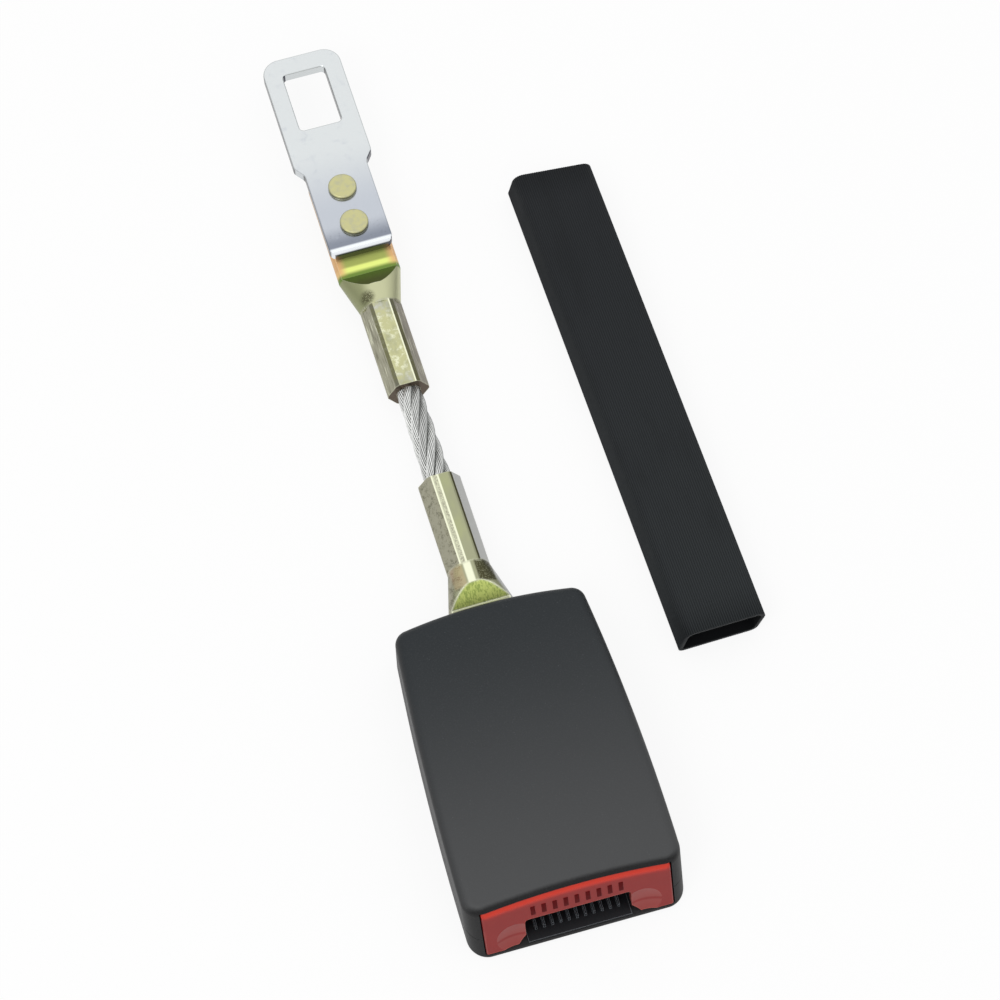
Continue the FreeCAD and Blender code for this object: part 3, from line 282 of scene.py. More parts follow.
class EXTENDER_PG_rope(bpy.types.PropertyGroup):
    """Sizes of the laid wire rope."""

    inset: length("Inset", "Reach into each ferrule", 6)
    strands: count("Strands", "Strands laid round the core", 6)
    wires: count("Wires", "Outer wires of one strand", 12)
    lay: length("Rope lay", "Length of one turn of a strand", 42)
    wire_lay: length("Strand lay", "Length of one turn of a wire", 14)
    strand_ring: length("Strand circle", "Radius of the strands' circle", 2.46)
    taper: share("Taper", "Shrinkage along the rope", 0.011)
    wire_ring: length("Wire circle", "Radius of a strand's circle of wires", 0.92)
    wire_radius: length("Wire radius", "Radius of one wire", 0.23)
    core_radius: length("Core radius", "Radius of the rope's core", 1.3)
    strand_core: length("Strand core", "Radius of a strand's solid middle", 0.76)
    steps: count("Steps", "Rings along each wire", 84)
    sides: count("Sides", "Corners round each wire", 6)


class EXTENDER_PG_springs(bpy.types.PropertyGroup):
    """Sizes of the springs behind the button and the ejector."""

    button_wire: length("Button spring wire", "Wire of both springs", 0.6)
    button_turns: count("Button spring turns", "Turns of both springs", 7)
    ejector_wire: length("Ejector spring wire", "Wire of that spring", 0.45)
    ejector_turns: count("Ejector spring turns", "Turns of that spring", 8)
    steps: count("Steps", "Rings along one turn", 24)
    sides: count("Sides", "Corners round the wire", 8)


class EXTENDER_PG_sleeve(bpy.types.PropertyGroup):
    """Sizes of the sleeve that slips over the rope."""

    across: length("Across", "Middle, across", 53.8)
    along: length("Along", "Middle, along", 91.9)
    turned: angle("Turned", "Heading from the belt's line", 1.5)
    wide: length("Width", "Outer width between the folds", 23.5)
    tall: length("Height", "Outer height", 9.5)
    long: length("Length", "Length of the left side", 139.4)
    lean: angle("End lean", "Cut of the far end, off square", 5.6)
    wall: length("Wall", "Thickness of the wall", 1.1)
    left_lean: length("Left lean", "Lean of the left side's top", 1.9)
    right_lean: length("Right lean", "Lean of the right side's foot", 2.6)
    fold_round: length("Fold rounding", "Rounding of the left foot", 1.5)
    left_round: length("Left rounding", "Rounding of the left top", 3.2)
    right_round: length("Right rounding", "Rounding of the right foot and top", 2.4)
    rib_pitch: length("Rib pitch", "From one rib to the next", 0.6)
    rib_depth: length("Rib depth", "Depth between two ribs", 0.14)
    rib_points: count("Rib points", "Points across one rib", 4)
    arc_steps: count("Corner steps", "Steps round each corner", 12)
    rings: count("Rings", "Sections along it", 12)


class EXTENDER_PG_button(bpy.types.PropertyGroup):
    """Sizes of the raised bars on the press button."""

    bars: count("Bars", "Raised bars in the row", 9)
    row_wide: length("Row width", "From the first bar to the last", 21.6)
    row_height: length("Row height", "Height of the row", 12.9)
    bar_wide: length("Bar width", "Width of one bar", 1.1)
    bar_tall: length("Bar height", "Length down the face", 3.0)
    bar_proud: length("Bar relief", "How far it stands out", 0.14)
    bar_round: length("Bar rounding", "Rounding of its edges", 0.12)


class EXTENDER_PG_stage(bpy.types.PropertyGroup):
    """Camera, lamps and floor."""

    azimuth: angle("Azimuth", "Camera's way round", -16.146)
    elevation: angle("Elevation", "Camera's height", 64.085)
    distance: length("Distance", "Camera's distance", 750.82)
    aim_across: length("Aim across", "Camera's aim, across", 13.285)
    aim_along: length("Aim along", "Camera's aim, along", 74.655)
    lens: level("Lens", "Focal length in millimetres", 105.95)
    floor_size: length("Floor size", "Side of the square floor", 8000)
    floor_glow: share("Floor glow", "Share of its own white", 0.88)
    sky: level("Sky", "Light from all round", 0.85)
    horizon: share("Horizon", "Brightness near the horizon", 0.55)
    top_lamp: level("Top lamp", "Power overhead, in watts", 3)
    key_lamp: level("Key lamp", "Power to the front left, in watts", 3)


# Node trees

def feed(socket, value):
    """Link what a node gives to this input, or set its plain value."""
    if isinstance(value, Flow):
        value.tree.links.new(value.socket, socket)
    else:
        socket.default_value = value


class Tree:
    """A node tree to which nodes are added."""

    def __init__(self, tree):
        self.tree = tree

    def add(self, kind, output, inputs=None, **settings):
        """Add a node, set its options, feed its inputs and return one output."""
        node = self.tree.nodes.new(f"ShaderNode{kind}")
        for name, value in settings.items():
            setattr(node, name, value)
        for socket, value in (inputs or {}).items():
            feed(node.inputs[socket], value)
        return Flow(node.outputs[output])

    def seen_by(self, ray):
        """Show 1 to one kind of ray."""
        return self.add("LightPath", f"Is {ray} Ray")

    def looked_at(self):
        """Show 1 where the camera, a mirror or glass looks."""
        return self.seen_by("Camera") | self.seen_by("Glossy") | self.seen_by("Transmission")


def arithmetic(operation, swapped=False):
    """Make a sign, such as + between two flows, add a maths node."""
    def method(self, other=0.0):
        first, second = (other, self) if swapped else (self, other)
        return self.add("Math", 0, {0: first, 1: second}, operation=operation)
    return method


class Flow(Tree):
    """What a node gives; of two masks, * shows where both do and | where either does."""

    __add__ = arithmetic("ADD")
    __sub__ = arithmetic("SUBTRACT")
    __rsub__ = arithmetic("SUBTRACT", swapped=True)
    __mul__ = arithmetic("MULTIPLY")
    __or__ = arithmetic("MAXIMUM")
    __abs__ = arithmetic("ABSOLUTE")

    def __init__(self, socket):
        super().__init__(socket.id_data)
        self.socket = socket

    def __neg__(self):
        return self * -1.0

    def part(self, axis):
        """One of a vector's three parts."""
        return self.add("SeparateXYZ", axis, {0: self})

    def rise(self, low, high):
        """Rise smoothly from 0 at low to 1 at high."""
        inputs = {"Value": self, "From Min": low, "From Max": high}
        return self.add("MapRange", "Result", inputs, interpolation_type="SMOOTHSTEP")

    def fall(self, low, high):
        """Fall smoothly from 1 at low to 0 at high."""
        return 1.0 - self.rise(low, high)

    def near(self, middle, half, soft):
        """Return 1 within half of the middle, falling smoothly to 0 over the soft edge."""
        return abs(self - middle).fall(half, half + soft)


def mixed(factor, first, second):
    """Blend two colours; a mix node has them at sockets 6 and 7, and the blend at 2."""
    return factor.add("Mix", 2, {0: factor, 6: first, 7: second}, data_type="RGBA")


class Finish(Tree):
    """One material, painted coat over coat."""

    def __init__(self, name, tone):
        self.material = bpy.data.materials.new(name)
        self.material.use_nodes = True
        super().__init__(self.material.node_tree)
        self.tone = tone

    def place(self, stretch=EVEN):
        """Place on the piece in millimetres, stretched along each axis."""
        inputs = {0: self.add("TexCoord", "Object"), 1: [part / MM for part in stretch]}
        return self.add("VectorMath", 0, inputs, operation="MULTIPLY")

    def facing(self, axis):
        """One part of the surface's direction on the piece."""
        return self.add("TexCoord", "Normal").part(axis)

    def strap_place(self, swing, start, sense):
        """Distance in millimetres across the strap, and along it from the start, one way."""
        inputs = {"Location": (0, swing.pivot / MM, 0), "Rotation": (0, 0, swing.turn)}
        inputs["Vector"] = self.place()
        turned = self.add("Mapping", 0, inputs, vector_type="TEXTURE")
        along = turned.part("Y") - (start - swing.pivot) / MM
        return turned.part("X"), along * sense

    def clouds(self, width, detail=2.0, roughness=0.5, stretch=EVEN):
        """Soft random patches about so many millimetres wide."""
        inputs = {"Vector": self.place(stretch), "Scale": 1 / width}
        inputs.update(Detail=detail, Roughness=roughness)
        return self.add("TexNoise", "Fac", inputs)

    def specks(self, spacing, size):
        """Small round dots, one to each cell."""
        off = self.add("TexVoronoi", "Distance", {"Vector": self.place(), "Scale": 1 / spacing})
        return off.fall(size / 2, size)

    def shades(self, name):
        """The number that a piece keeps for each of its points."""
        return self.add("Attribute", "Fac", attribute_name=name)

    def softened(self, radius):
        """The surface's direction with its edges rounded off."""
        return self.add("Bevel", 0, {"Radius": radius * MM}, samples=BEVEL_SAMPLES)

    def rubbed_edges(self, radius, sharpness):
        """Show 1 on sharp outer edges, where a painted highlight goes and a finish wears first."""
        inputs = {0: self.softened(radius), 1: self.add("NewGeometry", "Normal")}
        match = self.add("VectorMath", "Value", inputs, operation="DOT_PRODUCT")
        return (1.0 - match).rise(0.0, sharpness)

    def coat(self, mask, tone, strength=1.0):
        """Lay a colour over the last one where the mask is 1."""
        self.tone = mixed(mask * strength, self.tone, tone)

    def done(self, rough, metallic=0.0, specular=0.5, height=None, depth=0.0):
        """Feed the shader its colour, its gloss and bumps so many millimetres deep."""
        looks = {"Base Color": self.tone, "Specular IOR Level": specular}
        looks.update(Roughness=rough, Metallic=metallic)
        if height is not None:
            bumps = {"Height": height, "Distance": depth * MM}
            looks["Normal"] = self.add("Bump", "Normal", bumps)
        shader = self.tree.nodes["Principled BSDF"]
        for name, value in looks.items():
            feed(shader.inputs[name], value)
        return self.material


# Finishes

def casing_finish(look):
    """Satin black with a fine grain, painted lighter at the front and in a cooler, darker shade to
    the rear, with painted shade on the sides, the front lips and the foot.
    """
    finish = Finish("satin_black", look.casing_front)
    spot = finish.place()
    grain = finish.clouds(look.grain / MM, **RICH)
    drift = finish.clouds(14.0)
    # Painted shade, darker towards the rear
    finish.coat(spot.part("Y").rise(-40.0, 44.0), look.casing_rear)
    # Painted shade on the upright sides
    shaded_upright = finish.facing("Z").fall(0.25, 0.93)
    finish.coat(shaded_upright, look.casing_side)
    # Painted shade on the front-facing lips and, lower down, on the foot
    frontward = -finish.facing("Y")
    finish.coat(frontward.rise(0.25, 0.6), look.casing_lip)
    low = spot.part("Z").fall(*CASING_FOOT_SHADE)
    finish.coat(low, look.casing_lip, 0.85)
    finish.coat(grain.rise(0.45, 0.85), look.casing_fleck, 0.14)
    fleck = finish.specks(0.8, 0.2) * finish.clouds(2.5).rise(0.5, 0.75)
    finish.coat(fleck, look.casing_fleck, 0.4)
    rough = drift * 0.1 + (look.casing_gloss - 0.05)
    return finish.done(rough, specular=0.3, height=grain, depth=0.03)


def guide_finish(look):
    """Black plastic with a painted grey highlight along the rib edges, partly rubbed wear."""
    finish = Finish("mouth_black", look.guide)
    # Painted highlight on the rib edges, partly wear
    finish.coat(finish.rubbed_edges(0.3, 0.15), look.guide_edge, 0.9)
    return finish.done(0.45, specular=0.3, height=finish.clouds(0.3), depth=0.02)


def button_finish(look):
    """Moulded red, with a painted highlight on the rounded top and painted shade in the crease under
    it, painted light in the thumb dishes, a painted highlight on the edges that is partly wear, and
    duller on the sloping face.
    """
    finish = Finish("button_red", look.button_face)
    height = finish.place().part("Z")
    mottle = finish.clouds(3.0, **RICH)
    finish.coat(mottle, look.button, 0.12)
    off_face = abs(finish.facing("Z") - math.sin(BUTTON_SLOPE))
    # Painted light where the dishes tilt away from the face
    dish = off_face.rise(0.004, 0.05) * height.fall(*DISH_TOP)
    finish.coat(dish, look.button_dish, 0.5)
    high = height.rise(*CROWN_START)
    crown = finish.softened(2.4).part("Z")
    # Painted shade line in the crease
    finish.coat(crown.near(0.4, 0.02, 0.02) * high, look.button_crease)
    # Painted highlight on the rounded top
    finish.coat(crown.rise(0.41, 0.46) * high, look.button)
    # Painted highlight on the edges below the top, partly wear
    worn = finish.rubbed_edges(0.3, 0.25) * (1.0 - high)
    finish.coat(worn, look.button_rim, 0.55)
    return finish.done(0.4, specular=0.35, height=finish.clouds(0.25), depth=0.015)


def bar_finish(look):
    """Darker, duller red of the raised bars: painted shade standing in for the shadow in pressed-in
    letters.
    """
    finish = Finish("bar_painted_shade", look.button_mark)
    finish.coat(finish.clouds(0.8), look.button_face, 0.15)
    return finish.done(0.6, specular=0.1)


def steel_finish(name, look, tone, rough, drawing):
    """Plain steel with fine drawn lines along one axis."""
    finish = Finish(name, tone)
    drawn = finish.clouds(0.4, **RICH, stretch=drawing)
    patch = finish.clouds(4.0)
    finish.coat(drawn, look.steel_line, 0.5)
    return finish.done(patch * 0.12 + rough, metallic=1.0, height=drawn, depth=0.01)


class ZincFinish(Finish):
    """Zinc plate of a ferrule, with its places, its grain and its pressed flats."""

    def __init__(self, name, tone, swing, mouth, sense, hexagon):
        super().__init__(name, tone)
        self.across, self.along = self.strap_place(swing, mouth, sense)
        self.streak = self.clouds(0.45, detail=4.0, roughness=0.6, stretch=(1, 0.07, 1))
        self.patch = self.clouds(1.6, detail=3.0, roughness=0.62)
        self.fine = self.clouds(0.32, **RICH)
        right = self.facing("X")
        left = -right
        # Corner and side flats by their facing, which the finishes give painted light and shade
        self.corner_left, self.corner_right = (way.rise(*CORNER_TILT) for way in (left, right))
        self.flat_left, self.flat_right = (way.rise(*FLAT_TILT) for way in (left, right))
        self.hexagon = self.along.fall(*hexagon)
        self.flare = 1.0 - self.hexagon
        self.slope = abs(self.facing("Y")).rise(*SLOPE_TILT) * self.along.rise(*SLOPE)

    def plated(self):
        """Give the ferrule its half-bright, lightly dented face."""
        height = self.streak * 0.5 + self.patch * 0.7 + self.fine * 0.25
        return self.done(self.fine * 0.16 + 0.3, metallic=0.8, height=height, depth=0.045)


def upper_ferrule_finish(look, swing):
    """Pale yellow-green top, worn white in patches, with brown-grey sides and corners in painted
    shade, painted highlights on a line and the edges, a painted dark reflection on the slope, a
    painted reflection band and shadow line on the tab, and a rosy end.
    """
    zinc = ZincFinish("yellow_zinc_upper", look.zinc, swing, swing.upper_mouth, 1, UPPER_HEXAGON)
    across, along = zinc.across, zinc.along
    worn = (zinc.patch + zinc.fine * 0.35).rise(0.66, 0.86)
    zinc.coat(worn, look.zinc_strip, 0.75)
    near_ends = abs(along - UPPER_MIDDLE).rise(7.0, 12.0)
    chalky = near_ends * zinc.patch.rise(0.35, 0.6)
    zinc.coat(chalky, look.zinc_pale, 0.7)
    dulled = zinc.clouds(3.0, detail=3.0, stretch=BRUSHED).rise(0.5, 0.7)
    zinc.coat(dulled, look.zinc_smooth, 0.7)
    # Painted shade in the hexagon's corner flats
    zinc.coat(zinc.corner_left * zinc.hexagon, look.zinc_dark, 0.75)
    zinc.coat(zinc.corner_right * zinc.hexagon, look.zinc_dark, 0.85)
    # Painted shade on the left and right side flats
    zinc.coat(zinc.flat_left, look.zinc_left)
    zinc.coat(zinc.flat_right, look.zinc_right)
    sides = zinc.flat_left | zinc.flat_right
    zinc.coat(sides * zinc.streak.rise(0.52, 0.66), look.zinc_dark, 0.55)
    zinc.coat(sides * zinc.streak.fall(0.34, 0.45), look.zinc_strip, 0.55)
    # Painted highlight line along the hexagon
    zinc.coat(across.near(*UPPER_HIGHLIGHT_LINE) * zinc.hexagon, look.zinc_strip)
    zinc.coat(zinc.flare, look.zinc_khaki)
    # Painted shade on the flare's left
    zinc.coat(zinc.flare * across.fall(*UPPER_SHADE), look.zinc_olive, 0.55)
    # Painted shade of a dent, broken up by fine mottling
    dent_across, dent_along = UPPER_DENT_SHADE
    off_dent = zinc.add("CombineXYZ", 0, {0: across - dent_across, 1: along - dent_along})
    from_dent = zinc.add("VectorMath", "Value", {0: off_dent}, operation="LENGTH")
    dent = from_dent.fall(*UPPER_DENT_SHADE_EDGE) * zinc.fine.rise(0.3, 0.55)
    zinc.coat(dent, look.zinc_dark, 0.9)
    # Painted dark reflection on the slope, turning into green bloom
    slope_reflection_and_bloom = mixed(along.rise(*UPPER_GREENING), look.zinc_olive, look.zinc_green)
    zinc.coat(zinc.slope, slope_reflection_and_bloom)
    zinc.coat(along.rise(*UPPER_FLAT), look.zinc_green)
    # Painted reflection band on the flat tab
    zinc.coat(along.rise(*UPPER_REFLECTION_BAND), look.zinc_band)
    # Painted shadow line under the tongue plate's edge
    zinc.coat(along.rise(*UPPER_LIP_SHADOW), look.zinc_olive, 0.6)
    rosy = abs(across).rise(*FLUSH_SIDES) * along.rise(*FLUSH_START)
    zinc.coat(rosy, look.zinc_flush, 0.85)
    mouth = abs(zinc.facing("Y")).rise(*END_TILT) * along.fall(*UPPER_MOUTH)
    zinc.coat(mouth, look.zinc_brown)
    # Painted highlight on the edges, partly wear
    zinc.coat(zinc.rubbed_edges(0.32, 0.22), look.zinc_strip, 0.7)
    return zinc.plated()


def lower_ferrule_finish(look, swing):
    """Smooth grey-green top between a painted highlight strip and a painted shade line, with mottled
    sides in painted shade.
    """
    zinc = ZincFinish(
        "yellow_zinc_lower", look.zinc_smooth, swing, swing.lower_mouth, -1, LOWER_HEXAGON
    )
    across = zinc.across
    bloom = zinc.clouds(4.0, stretch=BRUSHED).rise(0.5, 0.7)
    zinc.coat(bloom, look.zinc_lime, 0.14)
    # Painted highlight strip along the top flat
    strip = across.near(*LOWER_HIGHLIGHT_STRIP) * zinc.hexagon
    zinc.coat(strip, look.zinc_strip, 0.55)
    speckle = strip * zinc.fine.rise(0.4, 0.6) * across.rise(*LOWER_SPECKLE)
    zinc.coat(speckle, look.zinc_left, 0.95)
    # Painted highlight lines along the top flat
    highlight_lines = across.near(*LOWER_HIGHLIGHT_RIGHT) | across.near(*LOWER_HIGHLIGHT_LEFT)
    zinc.coat(highlight_lines * zinc.hexagon, look.zinc_strip)
    # Painted shade on the left corner flats
    zinc.coat(zinc.corner_left * zinc.hexagon, look.zinc_left)
    # Painted shade line at the bend
    zinc.coat(across.near(*LOWER_SHADE_LINE) * zinc.hexagon, look.zinc_dark)
    zinc.coat(zinc.flat_left, look.zinc_left)
    # Painted shade on the left flats, painted light on the right flats
    zinc.coat(zinc.flat_right, look.zinc_pale)
    mottled = zinc.corner_left * (zinc.patch + zinc.fine).rise(0.98, 1.2)
    zinc.coat(mottled, look.zinc_dark, 0.6)
    neck = zinc.flare * zinc.along.fall(*NECK_END)
    scale = neck * across.near(*NECK_SCALE) * zinc.fine.rise(0.25, 0.5)
    zinc.coat(scale, look.zinc_dark)
    zinc.coat(neck * across.near(*NECK_GLINT), look.zinc_strip)
    zinc.coat(neck * across.near(*NECK_FLUSH), look.zinc_flush, 0.2)
    zinc.coat(zinc.slope, look.zinc_lime)
    zinc.coat(zinc.slope * zinc.streak.rise(0.44, 0.62), look.zinc_green, 0.6)
    # Painted highlight on the edges, partly wear, full on the flare's outline
    zinc.coat(zinc.rubbed_edges(0.3, 0.22), look.zinc_strip, 0.5)
    zinc.coat(zinc.rubbed_edges(0.8, 0.04) * zinc.flare, look.zinc_strip)
    return zinc.plated()


def rivet_finish(look):
    """Pale yellow zinc with soft dents, painted shade on the sides and a painted highlight, partly
    wear, on the rim.
    """
    finish = Finish("rivet_zinc_plate", look.rivet)
    patch = finish.clouds(1.4, **RICH)
    fine = finish.clouds(0.3, **RICH)
    finish.coat(patch.rise(0.4, 0.7), look.rivet_worn)
    # Painted shade on the rivets' sides
    shaded_upright = finish.facing("Z").fall(0.1, 0.5)
    finish.coat(shaded_upright, look.zinc_dark, 0.7)
    # Painted highlight on the rim, partly wear
    finish.coat(finish.rubbed_edges(0.5, 0.15), look.rivet_rim, 0.75)
    return finish.done(0.42, metallic=0.8, height=patch + fine * 0.4, depth=0.03)


def wire_finish(look):
    """Galvanised wires, each in its own tone, with painted shade in the gaps and on the right side.
    """
    # Base is the painted gap shade, kept by the cores, whose shade is 0
    finish = Finish("galvanised_wire", look.wire_dark)
    finish.coat(finish.shades("wire_shade"), look.wire)
    fine = finish.clouds(0.6, **RICH)
    finish.coat(fine.rise(0.4, 0.8), look.wire_dull, 0.35)
    # Painted shade on the right side
    rightward = finish.facing("X").rise(-0.1, 0.6)
    finish.coat(rightward, look.wire_shade, 0.8)
    return finish.done(0.34, metallic=0.7, height=fine, depth=0.01)


def tongue_finish(look, swing):
    """Bright plate with a painted reflection gradient, bluish round the rivets and grey with fine
    pits above the heel, a painted white reflection along the heel and painted shade on the walls.
    """
    finish = Finish("bright_plate", look.chrome_dull)
    _, along = finish.strap_place(swing, swing.heel, 1)
    haze = finish.clouds(9.0)
    cloud = finish.clouds(3.5, **RICH)
    fine = finish.clouds(0.35, **RICH)
    # Painted reflection gradient: bright head, dimmer above the heel
    finish.coat(along.rise(*HEAD_START), look.chrome)
    finish.coat(along.fall(*HEEL_DIM_END), look.chrome_heel)
    # Painted white reflection along the heel
    finish.coat(along.fall(*HEEL_REFLECTION_END), look.chrome_band)
    # Painted shade on the heel's edge
    finish.coat(along.fall(*HEEL_SHADE_END), look.chrome_edge, 0.8)
    finish.coat(cloud.rise(0.55, 0.8) * along.rise(*CLOUDS_START), look.chrome_dull, 0.5)
    low = along.rise(*PITS_START) * along.fall(*PITS_END)
    pits = finish.specks(0.55, 0.24) * fine.rise(0.45, 0.55)
    finish.coat(pits * (low + 0.1), look.chrome_speck)
    # Painted shade on the left walls
    leftward = -finish.facing("X")
    finish.coat(leftward.rise(0.8, 0.95), look.chrome_edge)
    # Painted shade on the wall under the shoulder
    rightward, frontward = finish.facing("X"), -finish.facing("Y")
    finish.coat(rightward.rise(0.3, 0.5) * frontward.rise(0.3, 0.5), look.chrome_corner)
    return finish.done(haze * 0.1 + 0.17, metallic=1.0, height=fine, depth=0.004)


def sleeve_finish(look, sleeve):
    """Matt black with fine lengthwise ribs and painted shade in the grooves, greyer towards its near
    end.
    """
    finish = Finish("ribbed_black", look.sleeve_near)
    near_end = (sleeve.along - sleeve.long / 2) / MM
    far_end = (sleeve.along + sleeve.long / 2) / MM
    finish.coat(finish.place().part("Y").rise(near_end, far_end), look.sleeve_far)
    cloud = finish.clouds(6.0, detail=3.0, stretch=(1, 0.3, 1))
    finish.coat(cloud.rise(0.45, 0.8), look.sleeve_groove, 0.3)
    # Painted shade in the grooves between the ribs
    finish.coat(1.0 - finish.shades("rib_crest"), look.sleeve_groove, 0.85)
    fine = finish.clouds(0.3, **RICH, stretch=(1, 0.2, 1))
    return finish.done(0.7, specular=0.2, height=fine, depth=0.02)


def bore_finish(look):
    """Matt inside of the sleeve, painted near black as shade."""
    finish = Finish("bore_painted_shade", look.sleeve_bore)
    finish.coat(finish.clouds(1.0, detail=3.0), look.sleeve_groove, 0.4)
    return finish.done(0.85, specular=0.1)


# Pieces

def dress(slot, finish, only=None):
    """Give a finish to the packed pieces with this material slot, or to only one."""
    dressed = 0
    for name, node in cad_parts.items():
        held = node.material_slots[0]
        if held.material.name.split(".")[0] == slot and only in (None, name):
            held.link = "OBJECT"
            held.material = finish
            dressed += 1
    if not dressed:
        raise RuntimeError(f"no piece has the slot {slot}")


def stand(name, data):
    """Put a mesh, a lamp or a camera in the scene."""
    item = bpy.data.objects.new(name, data)
    bpy.context.scene.collection.objects.link(item)
    return item


def new_piece(name, points, faces, finishes):
    """Make a smooth mesh piece in place."""
    mesh = bpy.data.meshes.new(name)
    mesh.from_pydata(points, [], faces)
    mesh.update()
    mesh.shade_smooth()
    for finish in finishes:
        mesh.materials.append(finish)
    piece = stand(name, mesh)
    return piece


def skin(points, faces, rings):
    """Join neighbouring rings of points with a closed strip of quads."""
    start = len(points)
    sides = len(rings[0])
    for ring in rings:
        points.extend(ring)
    for row in range(len(rings) - 1):
        for corner in range(sides):
            after = (corner + 1) % sides
            below = start + row * sides
            above = below + sides
            faces.append((below + corner, below + after, above + after, above + corner))


def note_shades(piece, name, shades):
    """Keep one number for each point, which the finish reads."""
    layer = piece.data.attributes.new(name, "FLOAT", "POINT")
    layer.data.foreach_set("value", shades)


# Wire rope

def rope_point(swing, run):
    """Middle of the rope at a distance from the lower ferrule's mouth."""
    along = swing.lower_mouth + run - swing.pivot
    heading = Vector((-math.sin(swing.turn), math.cos(swing.turn), 0))
    return Vector((0, swing.pivot, swing.height)) + heading * along


def around(middle, side, up, radius, turned):
    """Point on a circle, turned from up to the side."""
    return middle + side * (radius * math.sin(turned)) + up * (radius * math.cos(turned))


def strand_line(rope, swing, strand_turn, run):
    """Middle of one strand along the rope, and the ways out and across."""
    middle = rope_point(swing, run)
    side = Vector((math.cos(swing.turn), math.sin(swing.turn), 0))
    laid = strand_turn + FULL_TURN * run / rope.lay
    outward = around(Vector(), side, UP, 1, laid)
    across = side * math.cos(laid) - UP * math.sin(laid)
    return middle + outward * (rope.strand_ring - rope.taper * run), outward, across


def wire_line(rope, swing, strand_turn, wire_turn, run):
    """Middle of one wire along the rope."""
    strand, outward, across = strand_line(rope, swing, strand_turn, run)
    twisted = wire_turn - FULL_TURN * run / rope.wire_lay
    return around(strand, across, outward, rope.wire_ring, twisted)


def tube(points, faces, line, radius, runs, sides):
    """Sweep a circle along a line, a function of the run, and close both ends."""
    nudge = MM / 10
    rings = []
    for run in runs:
        middle = line(run)
        ahead = (line(run + nudge) - line(run - nudge)).normalized()
        side = ahead.cross(UP).normalized()
        up = side.cross(ahead)
        rings.append([around(middle, side, up, radius, FULL_TURN * k / sides) for k in range(sides)])
    first = len(points)
    skin(points, faces, rings)
    last = len(points) - sides
    faces.append(tuple(reversed(range(first, first + sides))))
    faces.append(tuple(range(last, last + sides)))
    return len(rings) * sides


def build_rope(rope, swing, finish):
    """Lay strands of fine wires round a core, between the ferrules."""
    free = swing.upper_mouth - swing.lower_mouth
    reach = free + 2 * rope.inset
    runs = [reach * step / rope.steps - rope.inset for step in range(rope.steps + 1)]
    points, faces, shades = [], [], []

    def sweep(line, radius, sides, shade):
        shades.extend([shade] * tube(points, faces, line, radius, runs, sides))

    dice = random.Random(rope.strands)
    for strand in range(rope.strands):
        strand_turn = FULL_TURN * strand / rope.strands
        base = dice.uniform(*STRAND_SHADES)
        for wire in range(rope.wires):
            wire_turn = FULL_TURN * wire / rope.wires
            shade = base + dice.uniform(*WIRE_SHADES)
            sweep(
                lambda run: wire_line(rope, swing, strand_turn, wire_turn, run),
                rope.wire_radius, rope.sides, shade,
            )
        # Cores take shade 0, so the finish gives them the painted gap shade
        sweep(
            lambda run: strand_line(rope, swing, strand_turn, run)[0],
            rope.strand_core, 2 * rope.sides, 0.0,
        )
    sweep(lambda run: rope_point(swing, run), rope.core_radius, 2 * rope.sides, 0.0)
    piece = new_piece("laid_rope", points, faces, [finish])
    note_shades(piece, "wire_shade", shades)
    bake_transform(piece)
    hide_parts("wire_rope")


# Springs

def build_spring(springs, node, wire, turns, finish):
    """Wind a spring in a packed one's place."""
    low, high = (Vector(corner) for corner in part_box(node))
    middle = (low + high) / 2
    radius = (high.x - low.x - wire) / 2
    reach = high.y - low.y - wire
    steps = turns * springs.steps
    runs = [reach * step / steps for step in range(steps + 1)]

    def line(run):
        spot = Vector((middle.x, low.y + wire / 2 + run, middle.z))
        return around(spot, RIGHT, UP, radius, FULL_TURN * turns * run / reach)

    points, faces = [], []
    tube(points, faces, line, wire / 2, runs, springs.sides)
    piece = new_piece(f"coiled_{node}", points, faces, [finish])
    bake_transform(piece)
    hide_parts(node)


# Sleeve

def sleeve_outline(sleeve, inset=0):
    """The sleeve's leaning, rounded section, moved inwards by the inset."""
    half = sleeve.wide / 2
    corners = (
        (-half, 0, sleeve.fold_round),
        (half - sleeve.right_lean, 0, sleeve.right_round),
        (half, sleeve.tall, sleeve.right_round),
        (-half + sleeve.left_lean, sleeve.tall, sleeve.left_round),
    )
    outline = []
    for index, (x, z, radius) in enumerate(corners):
        here = Vector((x, z))
        coming = (here - Vector(corners[index - 1][:2])).normalized()
        going = (Vector(corners[(index + 1) % len(corners)][:2]) - here).normalized()
        inward = (going - coming).normalized()
        half_angle = math.acos(-coming.dot(going)) / 2
        small = max(radius - inset, sleeve.rib_pitch)
        middle = here + inward * ((inset + small) / math.sin(half_angle))
        start = math.atan2(-coming.x, coming.y)
        for step in range(sleeve.arc_steps + 1):
            turned = start + (math.pi - 2 * half_angle) * step / sleeve.arc_steps
            outline.append((middle.x + small * math.cos(turned), middle.y + small * math.sin(turned)))
    return outline


def spaced(outline, wanted):
    """Spread points evenly round a closed outline."""
    closed = outline + outline[:1]
    lengths = [0.0]
    for before, after in zip(closed, closed[1:]):
        lengths.append(lengths[-1] + math.dist(before, after))
    spread = []
    part = 0
    for step in range(wanted):
        run = lengths[-1] * step / wanted
        while lengths[part + 1] < run:
            part += 1
        passed = (run - lengths[part]) / (lengths[part + 1] - lengths[part])
        before, after = closed[part], closed[part + 1]
        spread.append(tuple(a + (b - a) * passed for a, b in zip(before, after)))
    return spread, lengths[-1]


